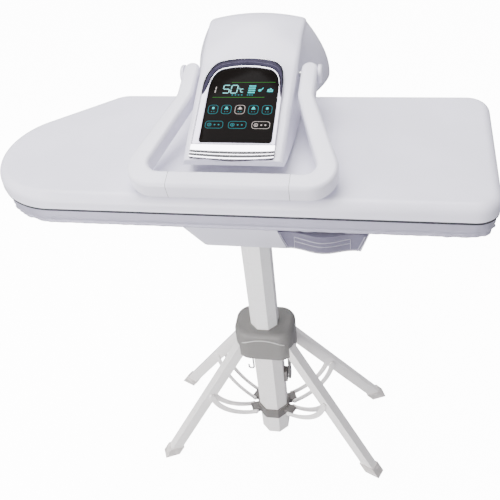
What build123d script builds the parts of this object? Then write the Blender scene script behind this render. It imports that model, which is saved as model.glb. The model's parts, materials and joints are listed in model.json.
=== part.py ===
"""Steam ironing press on a folding height-adjustable stand, in millimetres.

The origin lies on the floor under the column's axis. X runs along the board towards its square end, Y
towards the hinge at the back and Z upwards. The press has a plane of its own, the deck, in the top face
of the upper plate over the board's centre, and its pieces are given from there.
"""

from build123d import *
import os
from math import acos, asin, atan2, cos, degrees, hypot, pi, radians, sin, tan

# Board and upper plate, seen from above
board_length = 1010.0
board_depth = 380.0
nose_radius = 150.0
taper_angle = 38.0
taper_blend_radius = 60.0
corner_radius = 48.0
column_setback = 45.0

# Upper plate
shoe_height = 38.0
shoe_wall = 3.0
shoe_edge_round = 20.0
soleplate_inset = 12.0
soleplate_thickness = 8.0
soleplate_drop = 1.5
steam_hole_radius = 2.2
steam_hole_pitch_x = 68.0
steam_hole_pitch_y = 60.0
steam_hole_columns = 10
steam_hole_rows = 5
steam_field_shift = 50.0
heater_radius = 4.0
heater_lift = 0.1
heater_bend = 60.0
heater_edge = 78.0
shield_thickness = 1.2
shield_level = 15.0
shield_inset = 16.0

# Ironing board
board_gap = 0.6
cover_inset = 7.0
cover_thickness = 2.5
cover_edge_round = 7.0
skirt_height = 38.0
pad_thickness = 11.0
pad_inset = 14.0
pan_wall = 1.5
soft_gap = 0.1

# Base case under the board
base_height = 48.0
base_wall = 3.0
base_left_top = 103.0
base_right_top = 278.0
base_left_slope = 43.0
base_right_slope = 20.0
base_front = 178.0
base_back = 205.0
base_corner = 16.0
foot_pad_radius = 12.0
foot_pad_height = 5.0
foot_pad_margin = 26.0

# Water tank and its bay
bay_left_top = 95.0
bay_right_top = 271.0
bay_side_slope = 18.0
bay_depth = 140.0
bay_clearance = 1.0
tank_wall = 2.5
tank_top_gap = 6.0
tank_bulge = 24.0
tank_bulge_width = 118.0
tank_lid_thickness = 2.5
tank_lip = 7.0
flap_length = 40.0
flap_width = 22.0
flap_thickness = 2.0
flap_corner = 3.0
fill_hole_radius = 8.5
valve_radius = 7.0
valve_length = 10.0
socket_wall = 3.0
socket_length = 12.0
socket_clearance = 0.4

# Pump and its hose
pump_length = 58.0
pump_width = 38.0
pump_height = 30.0
pump_motor_radius = 13.0
pump_motor_length = 30.0
pump_place_x = 30.0
pump_place_y = 40.0
hose_radius = 4.0
hose_bore = 2.5
hose_bend = 18.0

# Rear hinge
head_shift = 14.0
hinge_back = 245.0
hinge_drop = 30.0
shaft_radius = 8.0
shaft_half = 98.0
bush_radius = 12.0
bush_length = 16.0
running_gap = 0.05
barrel_radius = 31.0
barrel_half = 66.0
spring_radius = 19.0
spring_bore = 8.0
spring_length = 38.0
bracket_plate = 6.0
bracket_gap = 0.6
bracket_eye = 22.0
bracket_base = 4.0
ear_radius = 42.0
ear_inner = 74.0
ear_outer = 104.0
tower_front = 203.0
tower_back = 253.0
gland_radius = 9.0
gland_tip = 6.0
gland_bore = 3.5
gland_length = 24.0
gland_place = 190.0
gland_neck = 7.0

# Head, its display and its arm
display_tilt = 18.0
display_front = 95.0
display_level = 62.5
glass_half = 70.0
glass_side = 136.0
glass_shoulder_half = 44.0
glass_shoulder_height = 178.0
glass_top = 190.0
glass_thickness = 3.0
glass_gap = 0.1
bezel_half = 84.0
bezel_side = 124.0
bezel_shoulder_half = 55.0
bezel_shoulder_height = 198.0
bezel_top = 213.0
bezel_depth = 5.0
bezel_proud = 2.0
bezel_ledge = 3.0
bar_low = 32.5
bar_high = 4.5
bar_proud = 2.5
groove_width = 3.0
groove_depth = 1.6
groove_first = 22.0
groove_second = 28.6
window_depth = 25.0
pocket_gap = 0.2
board_thick = 1.6
board_margin = 10.0
head_wall = 3.0
arm_half = 58.0
arm_wall = 4.0
arm_seat = 0.3
arm_toe = -40.0
arm_toe_height = 40.0
arm_knee = 62.0
arm_knee_height = 90.0
arm_crest_run = 25.0
arm_crest = 10.0
arm_heel_height = 22.0
hose_side = 30.0
hose_front = 30.0
inlet_radius = 14.0
inlet_height = 20.0
inlet_port = 8.0
bolt_radius = 3.0
bolt_head_radius = 5.5
bolt_head = 4.0
bolt_reach = 10.0

# Handle
pivot_back = 115.0
pivot_level = 90.0
bar_front = 180.0
bar_level = 27.0
bar_width = 38.0
handle_thickness = 40.0
handle_round = 8.0
arm_inner = 106.5
arm_width = 33.0
arm_bend = 80.0
bar_inner_half = 167.0
bar_outer_half = 222.0
bar_outer_corner = 56.0
bar_inner_corner = 24.0
arm_bend_round = 50.0
grip_half = 114.5
grip_skin = 3.5
handle_shaft_radius = 6.0
cap_radius = 19.0
cap_thickness = 8.0
cap_round = 5.0
cap_gap = 0.5
cap_seat = 4.0

# Stand
leg_length = 480.0
leg_spread = 33.0
leg_folded = 5.0
leg_azimuth = 24.0
leg_width = 26.0
leg_thickness = 30.0
leg_wall = 2.0
leg_pivot_radius = 70.0
leg_pin_radius = 5.0
foot_height = 14.0
boot_height = 30.0
boot_wall = 3.0
boot_plug = 20.0
hub_width = 158.0
hub_depth = 114.0
hub_corner = 42.0
hub_below_pivot = 22.0
hub_above_pivot = 74.0
hub_round = 14.0
hub_slot_start = 52.0
hub_slot_gap = 0.6
hub_cap = 8.0
outer_flats = 78.0
outer_wall = 2.0
inner_flats = 70.0
inner_wall = 2.5
tube_floor_gap = 10.0
guide_gap = 0.15
guide_length = 56.0
lower_guide_length = 26.0
column_reach = 466.0
height_travel = 190.0
plate_thickness = 4.0
plate_width = 190.0
plate_depth = 150.0
socket_height = 30.0
plate_socket_wall = 5.0
plate_bolt_x = 70.0
plate_bolt_y = 55.0

# Crank, pinion and rack
crank_drop = 130.0
pitch_radius = 20.0
tooth_count = 20
tooth_addendum = 1.7
tooth_dedendum = 2.3
tooth_thin = 0.5
pinion_width = 14.0
rack_width = 12.0
rack_overrun = 30.0
crank_shaft_radius = 6.0
crank_hole_gap = 0.3
crank_block = 44.0
crank_block_depth = 10.0
crank_block_round = 8.0
crank_arm_length = 72.0
crank_arm_thickness = 6.0
crank_hub_radius = 13.0
crank_tip_radius = 8.0
crank_arm_gap = 3.5
knob_radius = 8.5
knob_length = 31.0
knob_gap = 0.5
knob_pin_radius = 3.0
knob_pin_head = 2.0

# Collar, struts and transport hook
collar_drop = 295.0
collar_wall = 5.0
collar_height = 36.0
collar_gap = 0.4
lug_pin_radius_from_axis = 60.0
lug_half = 12.6
lug_round = 9.0
strut_attach = 200.0
strut_bow = 28.0
strut_width = 16.0
strut_plate = 3.5
strut_side_gap = 0.5
rivet_radius = 4.0
rivet_head = 6.5
rivet_head_height = 2.0
hook_rod_radius = 2.5
hook_length = 106.0
hook_turn = 7.0
hook_offset = 47.0
hook_eye_radius = 5.5
hook_ear_drop = 8.0
hook_ear_thickness = 3.0
hook_ear_gap = 0.4
hook_pin_radius = 2.0

overrun = 5.0

# Levels above the floor
pivot_height = leg_length * cos(radians(leg_spread))
hub_bottom = pivot_height - hub_below_pivot
hub_top = pivot_height + hub_above_pivot
plate_bottom = hub_top + column_reach
base_bottom = plate_bottom + plate_thickness
board_stack = shoe_height + skirt_height + soleplate_drop + board_gap
deck_height = base_bottom + base_height + board_stack
deck = Plane(origin=(0, -column_setback, deck_height))

# Levels below the deck
shoe_bottom = -shoe_height
sole_bottom = shoe_bottom - soleplate_drop
sole_top = sole_bottom + soleplate_thickness
cover_top = sole_bottom - board_gap
cover_bottom = cover_top - skirt_height
pad_top = cover_top - cover_thickness - soft_gap
pan_top = pad_top - pad_thickness - soft_gap
case_top = cover_bottom
case_bottom = case_top - base_height
bolt_x = arm_half - arm_wall - bolt_head_radius - soft_gap * 5
bolt_ys = (arm_toe + arm_wall + bolt_head_radius + soft_gap * 5, pivot_back - arm_crest_run)
bolt_places = [(head_shift + side * bolt_x, y) for side in (-1, 1) for y in bolt_ys]
arm_floor = arm_seat + arm_wall
os.makedirs("parts", exist_ok=True)


def save(builder, name):
    """Label a finished piece and write it as its own file."""
    builder.part.label = name
    export_step(builder.part, f"parts/{name}.step")


def side_plane(x):
    """A plane across the deck's X at x, with Y to its right and Z upwards."""
    return Plane(origin=(x, -column_setback, deck_height), x_dir=(0, 1, 0), z_dir=(1, 0, 0))


def front_plane(y):
    """A plane across the deck's Y at y, with X to its right and Z upwards, facing the front."""
    return Plane(origin=(0, y - column_setback, deck_height), x_dir=(1, 0, 0), z_dir=(0, -1, 0))


def board_slab(inset, low, high, edge_round=0.0):
    """The board's outline drawn in by inset, between two of the deck's levels, its top edge rounded."""
    half_length, half_depth = board_length / 2, board_depth / 2
    rise, run = cos(radians(taper_angle)), sin(radians(taper_angle))
    nose = (nose_radius - half_length, nose_radius - half_depth)
    reach = rise * nose[1] - run * nose[0] + nose_radius
    blend_y = half_depth - taper_blend_radius
    blend = ((rise * blend_y + taper_blend_radius - reach) / run, blend_y)
    back_corner = (half_length - corner_radius, half_depth - corner_radius)
    front_corner = (half_length - corner_radius, corner_radius - half_depth)
    turn = 90 + taper_angle
    with BuildPart() as slab:
        with BuildSketch(Plane.XY.offset(low)):
            with BuildLine():
                nose_arc = CenterArc(nose, nose_radius - inset, -90, turn - 270)
                blend_arc = CenterArc(blend, taper_blend_radius - inset, turn, -taper_angle)
                back_arc = CenterArc(back_corner, corner_radius - inset, 90, -90)
                front_arc = CenterArc(front_corner, corner_radius - inset, 0, -90)
                Line(nose_arc @ 1, blend_arc @ 0)
                Line(blend_arc @ 1, back_arc @ 0)
                Line(back_arc @ 1, front_arc @ 0)
                Line(front_arc @ 1, nose_arc @ 0)
            make_face()
        extrude(amount=high - low)
        if edge_round > 0:
            fillet(slab.faces().sort_by(Axis.Z)[-1].edges(), radius=edge_round)
    return slab.part


def octagon(plane, flats, low, high):
    """An eight-sided prism about the column's axis, flat faces towards X and Y."""
    with BuildPart() as prism:
        with BuildSketch(plane.offset(low)):
            RegularPolygon(radius=flats / 2, side_count=8, major_radius=False, rotation=180 / 8)
        extrude(amount=high - low)
    return prism.part


def bent_rod(points, bend, radius, bore=0.0):
    """A rod or a hose along straight runs joined by arcs, in the plane of the piece it is added to."""
    with BuildPart() as rod:
        with BuildLine() as path:
            FilletPolyline(*points, radius=bend)
        run = path.wires()[0]
        with BuildSketch(Plane(origin=run @ 0, z_dir=run % 0)):
            Circle(radius)
            if bore > 0:
                Circle(bore, mode=Mode.SUBTRACT)
        sweep(path=run)
    return rod.part


# Upper plate's cover, hollow from below
shoe_outer = board_slab(0, shoe_bottom, 0, shoe_edge_round)
shoe_inner = board_slab(shoe_wall, shoe_bottom - overrun, -shoe_wall, shoe_edge_round - shoe_wall)
with BuildPart(deck) as shoe_cover:
    add(shoe_outer)
    add(shoe_inner, mode=Mode.SUBTRACT)
    with Locations((head_shift + hose_side, hose_front, -shoe_wall / 2)):
        Cylinder(radius=inlet_port + overrun, height=shoe_wall + overrun, mode=Mode.SUBTRACT)
    for place in bolt_places:
        with Locations((*place, -shoe_wall / 2)):
            Cylinder(radius=bolt_radius, height=shoe_wall + overrun, mode=Mode.SUBTRACT)
save(shoe_cover, "shoe_cover")

# Aluminium soleplate with its steam holes
sole_blank = board_slab(soleplate_inset, sole_bottom, sole_top)
with BuildPart(deck) as soleplate:
    add(sole_blank)
    chamfer(soleplate.faces().sort_by(Axis.Z)[0].edges(), length=shield_thickness)
    with Locations((steam_field_shift, 0, (sole_bottom + sole_top) / 2)):
        with GridLocations(steam_hole_pitch_x, steam_hole_pitch_y, steam_hole_columns, steam_hole_rows):
            Cylinder(
                radius=steam_hole_radius, height=soleplate_thickness + overrun, mode=Mode.SUBTRACT
            )
save(soleplate, "soleplate")

# Heating element, a long hairpin on the soleplate
heater_level = sole_top + heater_lift + heater_radius
heater_y = board_depth / 2 - heater_edge
heater_end = board_length / 2 - heater_edge
heater_nose = board_length / 2 - heater_edge - nose_radius / 2
heater_form = bent_rod(
    [
        (heater_end, heater_y, heater_level),
        (heater_y - heater_nose, heater_y, heater_level),
        (-heater_nose, 0, heater_level),
        (-heater_nose, -heater_y, heater_level),
        (heater_end, -heater_y, heater_level),
    ],
    heater_bend / 2,
    heater_radius,
)
with BuildPart(deck) as heater:
    add(heater_form)
save(heater, "heating_element")

# Heat shield over the element
shield_top = shoe_bottom + shield_level + shield_thickness
shield_blank = board_slab(shield_inset, shoe_bottom + shield_level, shield_top)
with BuildPart(deck) as heat_shield:
    add(shield_blank)
    with Locations((head_shift + hose_side, hose_front, shield_top)):
        Cylinder(radius=inlet_radius + overrun, height=shoe_wall + overrun, mode=Mode.SUBTRACT)
save(heat_shield, "heat_shield")

# Steam chamber with the port that the hose is pushed on
with BuildPart(deck) as steam_inlet:
    with Locations((head_shift + hose_side, hose_front, sole_top)):
        Cylinder(
            radius=inlet_radius, height=inlet_height, align=(Align.CENTER, Align.CENTER, Align.MIN)
        )
    with Locations((head_shift + hose_side, hose_front, sole_top + inlet_height)):
        Cylinder(
            radius=inlet_port,
            height=-sole_top - inlet_height + shoe_wall,
            align=(Align.CENTER, Align.CENTER, Align.MIN),
        )
    with Locations((head_shift + hose_side, hose_front, 0)):
        Cylinder(radius=hose_bore, height=board_stack, mode=Mode.SUBTRACT)
save(steam_inlet, "steam_inlet")

# Fabric cover drawn over the board, open below
cover_outer = board_slab(cover_inset, cover_bottom, cover_top, cover_edge_round)
cover_inner = board_slab(
    cover_inset + cover_thickness,
    cover_bottom - overrun,
    cover_top - cover_thickness,
    cover_edge_round - cover_thickness,
)
with BuildPart(deck) as board_cover:
    add(cover_outer)
    add(cover_inner, mode=Mode.SUBTRACT)
save(board_cover, "board_cover")

# Felt pad
pad_blank = board_slab(pad_inset, pad_top - pad_thickness, pad_top)
with BuildPart(deck) as felt_pad:
    add(pad_blank)
save(felt_pad, "felt_pad")

# Sheet-metal board, folded down all round
pan_outer = board_slab(pad_inset, case_top, pan_top)
pan_inner = board_slab(pad_inset + pan_wall, case_top - overrun, pan_top - pan_wall)
with BuildPart(deck) as board_pan:
    add(pan_outer)
    add(pan_inner, mode=Mode.SUBTRACT)
save(board_pan, "board_pan")


def bay_section(grow):
    """The tank's slanted section in a plane that faces the front, grown by grow on its sides."""
    with BuildSketch() as section:
        with BuildLine():
            Polyline(
                (bay_left_top - grow, case_top + grow),
                (bay_right_top + grow, case_top + grow),
                (bay_right_top - bay_side_slope + grow, case_bottom - grow),
                (bay_left_top + bay_side_slope - grow, case_bottom - grow),
                close=True,
            )
        make_face()
    return section.sketch


# Base case with the bay for the tank, its socket and the tower for the hinge
socket_x = (bay_left_top + bay_right_top) / 2
socket_z = (case_top + case_bottom) / 2
socket_back = bay_depth - base_front + socket_length
case_depth = base_front + base_back
case_middle_y = (base_back - base_front) / 2
case_top_width = base_left_top + base_right_top
case_top_middle = (base_right_top - base_left_top) / 2
case_low_width = case_top_width - base_left_slope - base_right_slope
case_low_middle = case_top_middle + (base_left_slope - base_right_slope) / 2
hinge_z = -hinge_drop
with BuildPart(deck) as base_case:
    with BuildSketch(deck.offset(case_bottom)):
        with Locations((case_low_middle, case_middle_y)):
            RectangleRounded(case_low_width, case_depth, base_corner)
    with BuildSketch(deck.offset(case_top)):
        with Locations((case_top_middle, case_middle_y)):
            RectangleRounded(case_top_width, case_depth, base_corner)
    loft()
    with BuildSketch(deck.offset(case_bottom)):
        with Locations((head_shift, (tower_front + tower_back) / 2 - base_corner)):
            RectangleRounded(2 * ear_outer, tower_back - tower_front + 2 * base_corner, base_corner)
    extrude(amount=base_height)
    with BuildSketch(deck.offset(case_bottom + base_wall)):
        with Locations((case_low_middle, case_middle_y)):
            Rectangle(case_low_width - 2 * base_wall, case_depth - 2 * base_wall)
    with BuildSketch(deck.offset(case_top)):
        with Locations((case_top_middle, case_middle_y)):
            Rectangle(case_top_width - 2 * base_wall, case_depth - 2 * base_wall)
    loft(mode=Mode.SUBTRACT)
    with BuildSketch(deck.offset(case_bottom + base_wall)):
        with Locations((head_shift, (tower_front + tower_back) / 2 - base_corner)):
            Rectangle(
                2 * (ear_outer - base_wall), tower_back - tower_front + 2 * (base_corner - base_wall)
            )
    extrude(amount=base_height, mode=Mode.SUBTRACT)
    for side in (-1, 1):
        middle = head_shift + side * (ear_inner + ear_outer) / 2
        with BuildSketch(side_plane(middle)):
            with Locations((hinge_back, hinge_z)):
                Circle(ear_radius)
            with Locations(((tower_front + tower_back) / 2, (hinge_z + case_bottom) / 2)):
                Rectangle(tower_back - tower_front, hinge_z - case_bottom)
        extrude(amount=(ear_outer - ear_inner) / 2, both=True)
    with BuildSketch(side_plane(head_shift)):
        with Locations((hinge_back, hinge_z)):
            Circle(shaft_radius)
    extrude(amount=shaft_half, both=True, mode=Mode.SUBTRACT)
    with BuildSketch(front_plane(-base_front)):
        add(bay_section(base_wall))
    extrude(amount=-bay_depth - base_wall)
    with BuildSketch(front_plane(-base_front - overrun)):
        add(bay_section(0))
    extrude(amount=-bay_depth - overrun, mode=Mode.SUBTRACT)
    with BuildSketch(deck.offset(case_bottom - 2 * base_wall)):
        with Locations((case_top_middle, case_middle_y)):
            Rectangle(board_length, board_depth + case_depth)
    extrude(amount=2 * base_wall, mode=Mode.SUBTRACT)
    with BuildSketch(deck.offset(case_top)):
        with Locations((case_top_middle, 0)):
            Rectangle(board_length, 2 * tower_front - 2 * overrun)
    extrude(amount=board_stack, mode=Mode.SUBTRACT)
    with BuildSketch(front_plane(socket_back)):
        with Locations((socket_x, socket_z)):
            Circle(valve_radius + socket_wall)
    extrude(amount=socket_length)
    with BuildSketch(front_plane(socket_back - socket_wall)):
        with Locations((socket_x, socket_z)):
            Circle(valve_radius + socket_clearance)
    extrude(amount=socket_length, mode=Mode.SUBTRACT)
    with BuildSketch(front_plane(socket_back)):
        with Locations((socket_x, socket_z)):
            Circle(hose_bore)
    extrude(amount=socket_length, mode=Mode.SUBTRACT)
    with BuildSketch(front_plane(base_back)):
        with Locations((gland_place, socket_z)):
            Circle(gland_neck)
    extrude(amount=2 * base_wall, both=True, mode=Mode.SUBTRACT)
save(base_case, "base_case")

# Rubber pads under the base
with BuildPart(deck) as base_feet:
    pad_x = case_low_width / 2 - foot_pad_margin
    pad_left, pad_right = case_low_middle - pad_x, case_low_middle + pad_x
    pad_back = case_middle_y + case_depth / 2 - foot_pad_margin
    pad_front = case_middle_y - case_depth / 2 + foot_pad_margin
    front_right = bay_left_top - foot_pad_margin
    for place in (
        (pad_left, pad_front),
        (front_right, pad_front),
        (pad_left, pad_back),
        (pad_right, pad_back),
    ):
        with Locations((*place, case_bottom - foot_pad_height / 2)):
            Cylinder(radius=foot_pad_radius, height=foot_pad_height)
save(base_feet, "base_feet")


tank_middle = (bay_left_top + bay_right_top) / 2
tank_back = bay_depth - base_front - bay_clearance


def tank_plan(inset):
    """The tank from above, with its front bowed out for the fingers."""
    half = (bay_right_top - bay_left_top) / 2 + bay_side_slope
    front, back = -base_front - bay_clearance + inset, tank_back - inset
    grip = tank_bulge_width / 2 - inset
    with BuildSketch() as plan:
        with BuildLine():
            Polyline(
                (tank_middle - grip, front),
                (tank_middle - half, front),
                (tank_middle - half, back),
                (tank_middle + half, back),
                (tank_middle + half, front),
                (tank_middle + grip, front),
            )
            ThreePointArc(
                (tank_middle - grip, front),
                (tank_middle, front - tank_bulge),
                (tank_middle + grip, front),
            )
        make_face()
    return plan.sketch


def tank_form(inset, low, high):
    """The tank's slanted form between two of the deck's levels, drawn in by inset."""
    lean = bay_side_slope / base_height
    corners = []
    for level, side in ((low, -1), (high, -1), (high, 1), (low, 1)):
        half = (bay_right_top - bay_left_top) / 2 - bay_clearance - inset
        corners.append((tank_middle + side * (half - lean * (case_top - level)), level))
    with BuildPart() as form:
        with BuildSketch(Plane(origin=(0, tank_back, 0), x_dir=(1, 0, 0), z_dir=(0, -1, 0))):
            with BuildLine():
                Polyline(*corners, close=True)
            make_face()
        extrude(amount=bay_depth + 2 * tank_bulge)
        with BuildSketch(Plane.XY.offset(low)):
            add(tank_plan(inset))
        extrude(amount=high - low, mode=Mode.INTERSECT)
    return form.part


# Water tank, open at the top
tank_top = case_top - tank_top_gap
tank_floor = case_bottom + bay_clearance
tank_outer = tank_form(0, tank_floor, tank_top)
tank_inner = tank_form(tank_wall, tank_floor + tank_wall, tank_top + overrun)
with BuildPart(deck) as water_tank:
    add(tank_outer)
    add(tank_inner, mode=Mode.SUBTRACT)
    with Locations((socket_x, tank_back, socket_z)):
        Cylinder(
            radius=valve_radius - tank_wall,
            height=2 * tank_wall + overrun,
            rotation=(90, 0, 0),
            mode=Mode.SUBTRACT,
        )
save(water_tank, "water_tank")

# Lid of the tank with its filling hole and the ears of the flap
flap_x = tank_middle
flap_y = -base_front + bay_depth / 3
lid_top = tank_top + tank_lid_thickness
lid_blank = tank_form(0, tank_top, lid_top)
with BuildPart(deck) as tank_lid:
    add(lid_blank)
    with Locations((flap_x, flap_y, lid_top)):
        Cylinder(radius=fill_hole_radius, height=2 * flap_width, mode=Mode.SUBTRACT)
save(tank_lid, "tank_lid")

# Filling flap
with BuildPart(deck) as tank_flap:
    with BuildSketch(deck.offset(lid_top + soft_gap)):
        with Locations((flap_x, flap_y)):
            RectangleRounded(flap_length, flap_width, flap_corner)
    extrude(amount=flap_thickness)
save(tank_flap, "tank_flap")

# Outlet valve on the tank's back wall
with BuildPart(deck) as tank_valve:
    with Locations((socket_x, tank_back + valve_length / 2, socket_z)):
        Cylinder(radius=valve_radius, height=valve_length, rotation=(90, 0, 0))
    with Locations((socket_x, tank_back - tank_wall, socket_z)):
        Cylinder(radius=valve_radius - tank_wall - soft_gap, height=tank_wall * 4, rotation=(90, 0, 0))
    with Locations((socket_x, tank_back, socket_z)):
        Cylinder(
            radius=hose_bore, height=bay_depth, rotation=(90, 0, 0), mode=Mode.SUBTRACT
        )
save(tank_valve, "tank_valve")

# Pump on the case floor
case_floor = case_bottom + base_wall
pump_mid = case_floor + pump_height / 2
with BuildPart(deck) as pump:
    with Locations((pump_place_x, pump_place_y, pump_mid)):
        Box(pump_length, pump_width, pump_height)
    fillet(pump.edges().filter_by(Axis.Z), radius=socket_wall)
    with Locations((pump_place_x - (pump_length + pump_motor_length) / 2, pump_place_y, pump_mid)):
        Cylinder(radius=pump_motor_radius, height=pump_motor_length, rotation=(0, 90, 0))
save(pump, "pump")

# Hose from the tank's socket to the pump
pump_side = pump_place_x + pump_length / 2
hose_start = socket_back
pump_hose_form = bent_rod(
    [
        (socket_x, hose_start, socket_z),
        (socket_x, pump_place_y, socket_z),
        (pump_side, pump_place_y, socket_z),
    ],
    hose_bend,
    hose_radius,
    hose_bore,
)
with BuildPart(deck) as pump_hose:
    add(pump_hose_form)
save(pump_hose, "pump_hose")

# Gland of the mains lead in the back wall
with BuildPart(deck) as cable_gland:
    with BuildSketch(front_plane(base_back)):
        with Locations((gland_place, socket_z)):
            Circle(gland_radius)
    with BuildSketch(front_plane(base_back + gland_length)):
        with Locations((gland_place, socket_z)):
            Circle(gland_tip)
    loft()
    with BuildSketch(front_plane(base_back)):
        with Locations((gland_place, socket_z)):
            Circle(gland_neck - soft_gap)
    extrude(amount=2 * base_wall)
    with Locations((gland_place, base_back, socket_z)):
        Cylinder(radius=gland_bore, height=3 * gland_length, rotation=(90, 0, 0), mode=Mode.SUBTRACT)
save(cable_gland, "cable_gland")

# Hinge bracket, a steel plate with two uprights
upright_inner = barrel_half + bracket_gap
with BuildPart(deck) as hinge_bracket:
    with Locations((head_shift, (tower_front + tower_back) / 2, case_floor + bracket_base / 2)):
        Box(2 * (upright_inner + bracket_plate), tower_back - tower_front - 2 * base_wall, bracket_base)
    for side in (-1, 1):
        with BuildSketch(side_plane(head_shift + side * (upright_inner + bracket_plate / 2))):
            with Locations((hinge_back - base_wall, hinge_z)):
                Circle(bracket_eye - bracket_gap)
            with Locations(((tower_front + tower_back) / 2, (hinge_z + case_floor) / 2)):
                Rectangle(tower_back - tower_front - 2 * base_wall, hinge_z - case_floor)
        extrude(amount=bracket_plate / 2, both=True)
    with BuildSketch(side_plane(head_shift)):
        with Locations((hinge_back, hinge_z)):
            Circle(shaft_radius)
    extrude(amount=shaft_half, both=True, mode=Mode.SUBTRACT)
save(hinge_bracket, "hinge_bracket")

# Hinge shaft
with BuildPart(deck) as hinge_shaft:
    with Locations((head_shift, hinge_back, hinge_z)):
        Cylinder(radius=shaft_radius, height=2 * shaft_half, rotation=(0, 90, 0))
save(hinge_shaft, "hinge_shaft")

# Lift springs round the shaft, as closed sleeves
with BuildPart(deck) as lift_springs:
    for side in (-1, 1):
        with Locations((head_shift + side * spring_length / 2 + side * overrun, hinge_back, hinge_z)):
            Cylinder(radius=spring_radius, height=spring_length, rotation=(0, 90, 0))
            Cylinder(
                radius=spring_bore, height=spring_length, rotation=(0, 90, 0), mode=Mode.SUBTRACT
            )
save(lift_springs, "lift_springs")

# Plastic bushes in the arm's barrel
with BuildPart(deck) as hinge_bushes:
    for side in (-1, 1):
        with Locations((head_shift + side * (barrel_half - bush_length / 2), hinge_back, hinge_z)):
            Cylinder(radius=bush_radius, height=bush_length, rotation=(0, 90, 0))
            Cylinder(
                radius=shaft_radius + running_gap,
                height=bush_length,
                rotation=(0, 90, 0),
                mode=Mode.SUBTRACT,
            )
save(hinge_bushes, "hinge_bushes")


def arm_profile(inset):
    """The arm from the side: over the back edge of the plate and down to the hinge."""
    with BuildSketch() as profile:
        with BuildLine():
            Polyline(
                (arm_toe + inset, arm_seat + inset),
                (arm_toe + inset, arm_toe_height - inset),
                (arm_knee + inset, arm_knee_height - inset),
                (pivot_back - arm_crest, pivot_level + arm_crest - inset),
                (hinge_back - arm_crest_run, pivot_level + 2 * arm_crest - inset),
                (hinge_back + barrel_radius - inset, pivot_level / 2),
                (hinge_back + barrel_radius - inset, hinge_z + inset),
                (hinge_back - barrel_radius + inset, hinge_z + inset),
                (hinge_back - barrel_radius + inset, arm_heel_height + inset),
                (pivot_back, arm_heel_height + inset),
                (pivot_back, arm_seat + inset),
                close=True,
            )
        make_face()
    return profile.sketch


# Steel arm that carries the upper plate
with BuildPart(deck) as head_arm:
    with BuildSketch(side_plane(head_shift)):
        add(arm_profile(0))
    extrude(amount=arm_half, both=True)
    with BuildSketch(side_plane(head_shift)):
        add(arm_profile(arm_wall))
    extrude(amount=arm_half - arm_wall, both=True, mode=Mode.SUBTRACT)
    with BuildSketch(side_plane(head_shift)):
        with Locations((hinge_back, hinge_z)):
            Circle(barrel_radius)
    extrude(amount=barrel_half, both=True)
    with BuildSketch(side_plane(head_shift)):
        with Locations((hinge_back, hinge_z)):
            Circle(bush_radius)
    extrude(amount=barrel_half, both=True, mode=Mode.SUBTRACT)
    with BuildSketch(side_plane(head_shift)):
        with Locations((hinge_back, hinge_z)):
            Circle(spring_radius + shoe_wall)
    extrude(amount=barrel_half - bush_length, both=True, mode=Mode.SUBTRACT)
    with BuildSketch(side_plane(head_shift)):
        with Locations((pivot_back, pivot_level)):
            Circle(handle_shaft_radius)
    extrude(amount=arm_half, both=True, mode=Mode.SUBTRACT)
    with Locations((head_shift + hose_side, hose_front, 0)):
        Cylinder(radius=inlet_port + shoe_wall, height=4 * arm_wall, mode=Mode.SUBTRACT)
    for place in bolt_places:
        with Locations((*place, arm_floor - arm_wall / 2)):
            Cylinder(radius=bolt_radius, height=arm_wall + overrun, mode=Mode.SUBTRACT)
save(head_arm, "head_arm")

# Bolts that hold the plate to the arm
with BuildPart(deck) as shoe_bolts:
    for place in bolt_places:
        with Locations((*place, arm_floor + bolt_head / 2)):
            Cylinder(radius=bolt_head_radius, height=bolt_head)
        with Locations((*place, arm_floor - bolt_reach / 2)):
            Cylinder(radius=bolt_radius, height=bolt_reach)
save(shoe_bolts, "shoe_bolts")

# Steam hose inside the arm
hose_x = head_shift + hose_side
hose_top = pivot_level / 2 + arm_crest_run
steam_hose_form = bent_rod(
    [
        (hose_x, hose_front, shoe_wall + soft_gap),
        (hose_x, hose_front, arm_toe_height),
        (hose_x, pivot_back, hose_top),
        (hose_x, hinge_back - arm_crest_run, hose_top),
        (hose_x, hinge_back, arm_heel_height),
    ],
    hose_bend,
    hose_radius,
    hose_bore,
)
with BuildPart(deck) as steam_hose:
    add(steam_hose_form)
save(steam_hose, "steam_hose")

# Display plane, tilted towards the user
display = Plane(
    origin=(head_shift, -display_front - column_setback, deck_height + display_level),
    x_dir=(1, 0, 0),
    z_dir=(0, -sin(radians(display_tilt)), cos(radians(display_tilt))),
)


def arch(half, low, side, shoulder_half, shoulder, top, inset=0.0):
    """An arched outline: straight sides, round shoulders and a nearly flat top."""
    knee = (half + shoulder_half) / 2 + (half - shoulder_half) / 5
    knee_height = side + (shoulder - side) * 2 / 3
    right = ((half - inset, side), (knee - inset, knee_height - inset / 2))
    crown = (shoulder_half - inset / 2, shoulder - inset)
    with BuildSketch() as outline:
        with BuildLine():
            Polyline(
                (-right[0][0], side),
                (-right[0][0], low + inset),
                (right[0][0], low + inset),
                right[0],
            )
            ThreePointArc(right[0], right[1], crown)
            ThreePointArc(crown, (0, top - inset), (-crown[0], crown[1]))
            ThreePointArc((-crown[0], crown[1]), (-right[1][0], right[1][1]), (-right[0][0], side))
        make_face()
    return outline.sketch


def glass_outline(inset=0.0):
    """The outline of the display glass."""
    return arch(glass_half, 0, glass_side, glass_shoulder_half, glass_shoulder_height, glass_top, inset)


def bezel_outline(low, inset=0.0):
    """The outer outline of the bright frame, down to a given height."""
    return arch(
        bezel_half, low, bezel_side, bezel_shoulder_half, bezel_shoulder_height, bezel_top, inset
    )


# Black glass
with BuildPart() as display_glass:
    with BuildSketch(display.offset(-glass_thickness)):
        add(glass_outline(glass_gap))
    extrude(amount=glass_thickness)
save(display_glass, "display_glass")

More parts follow.
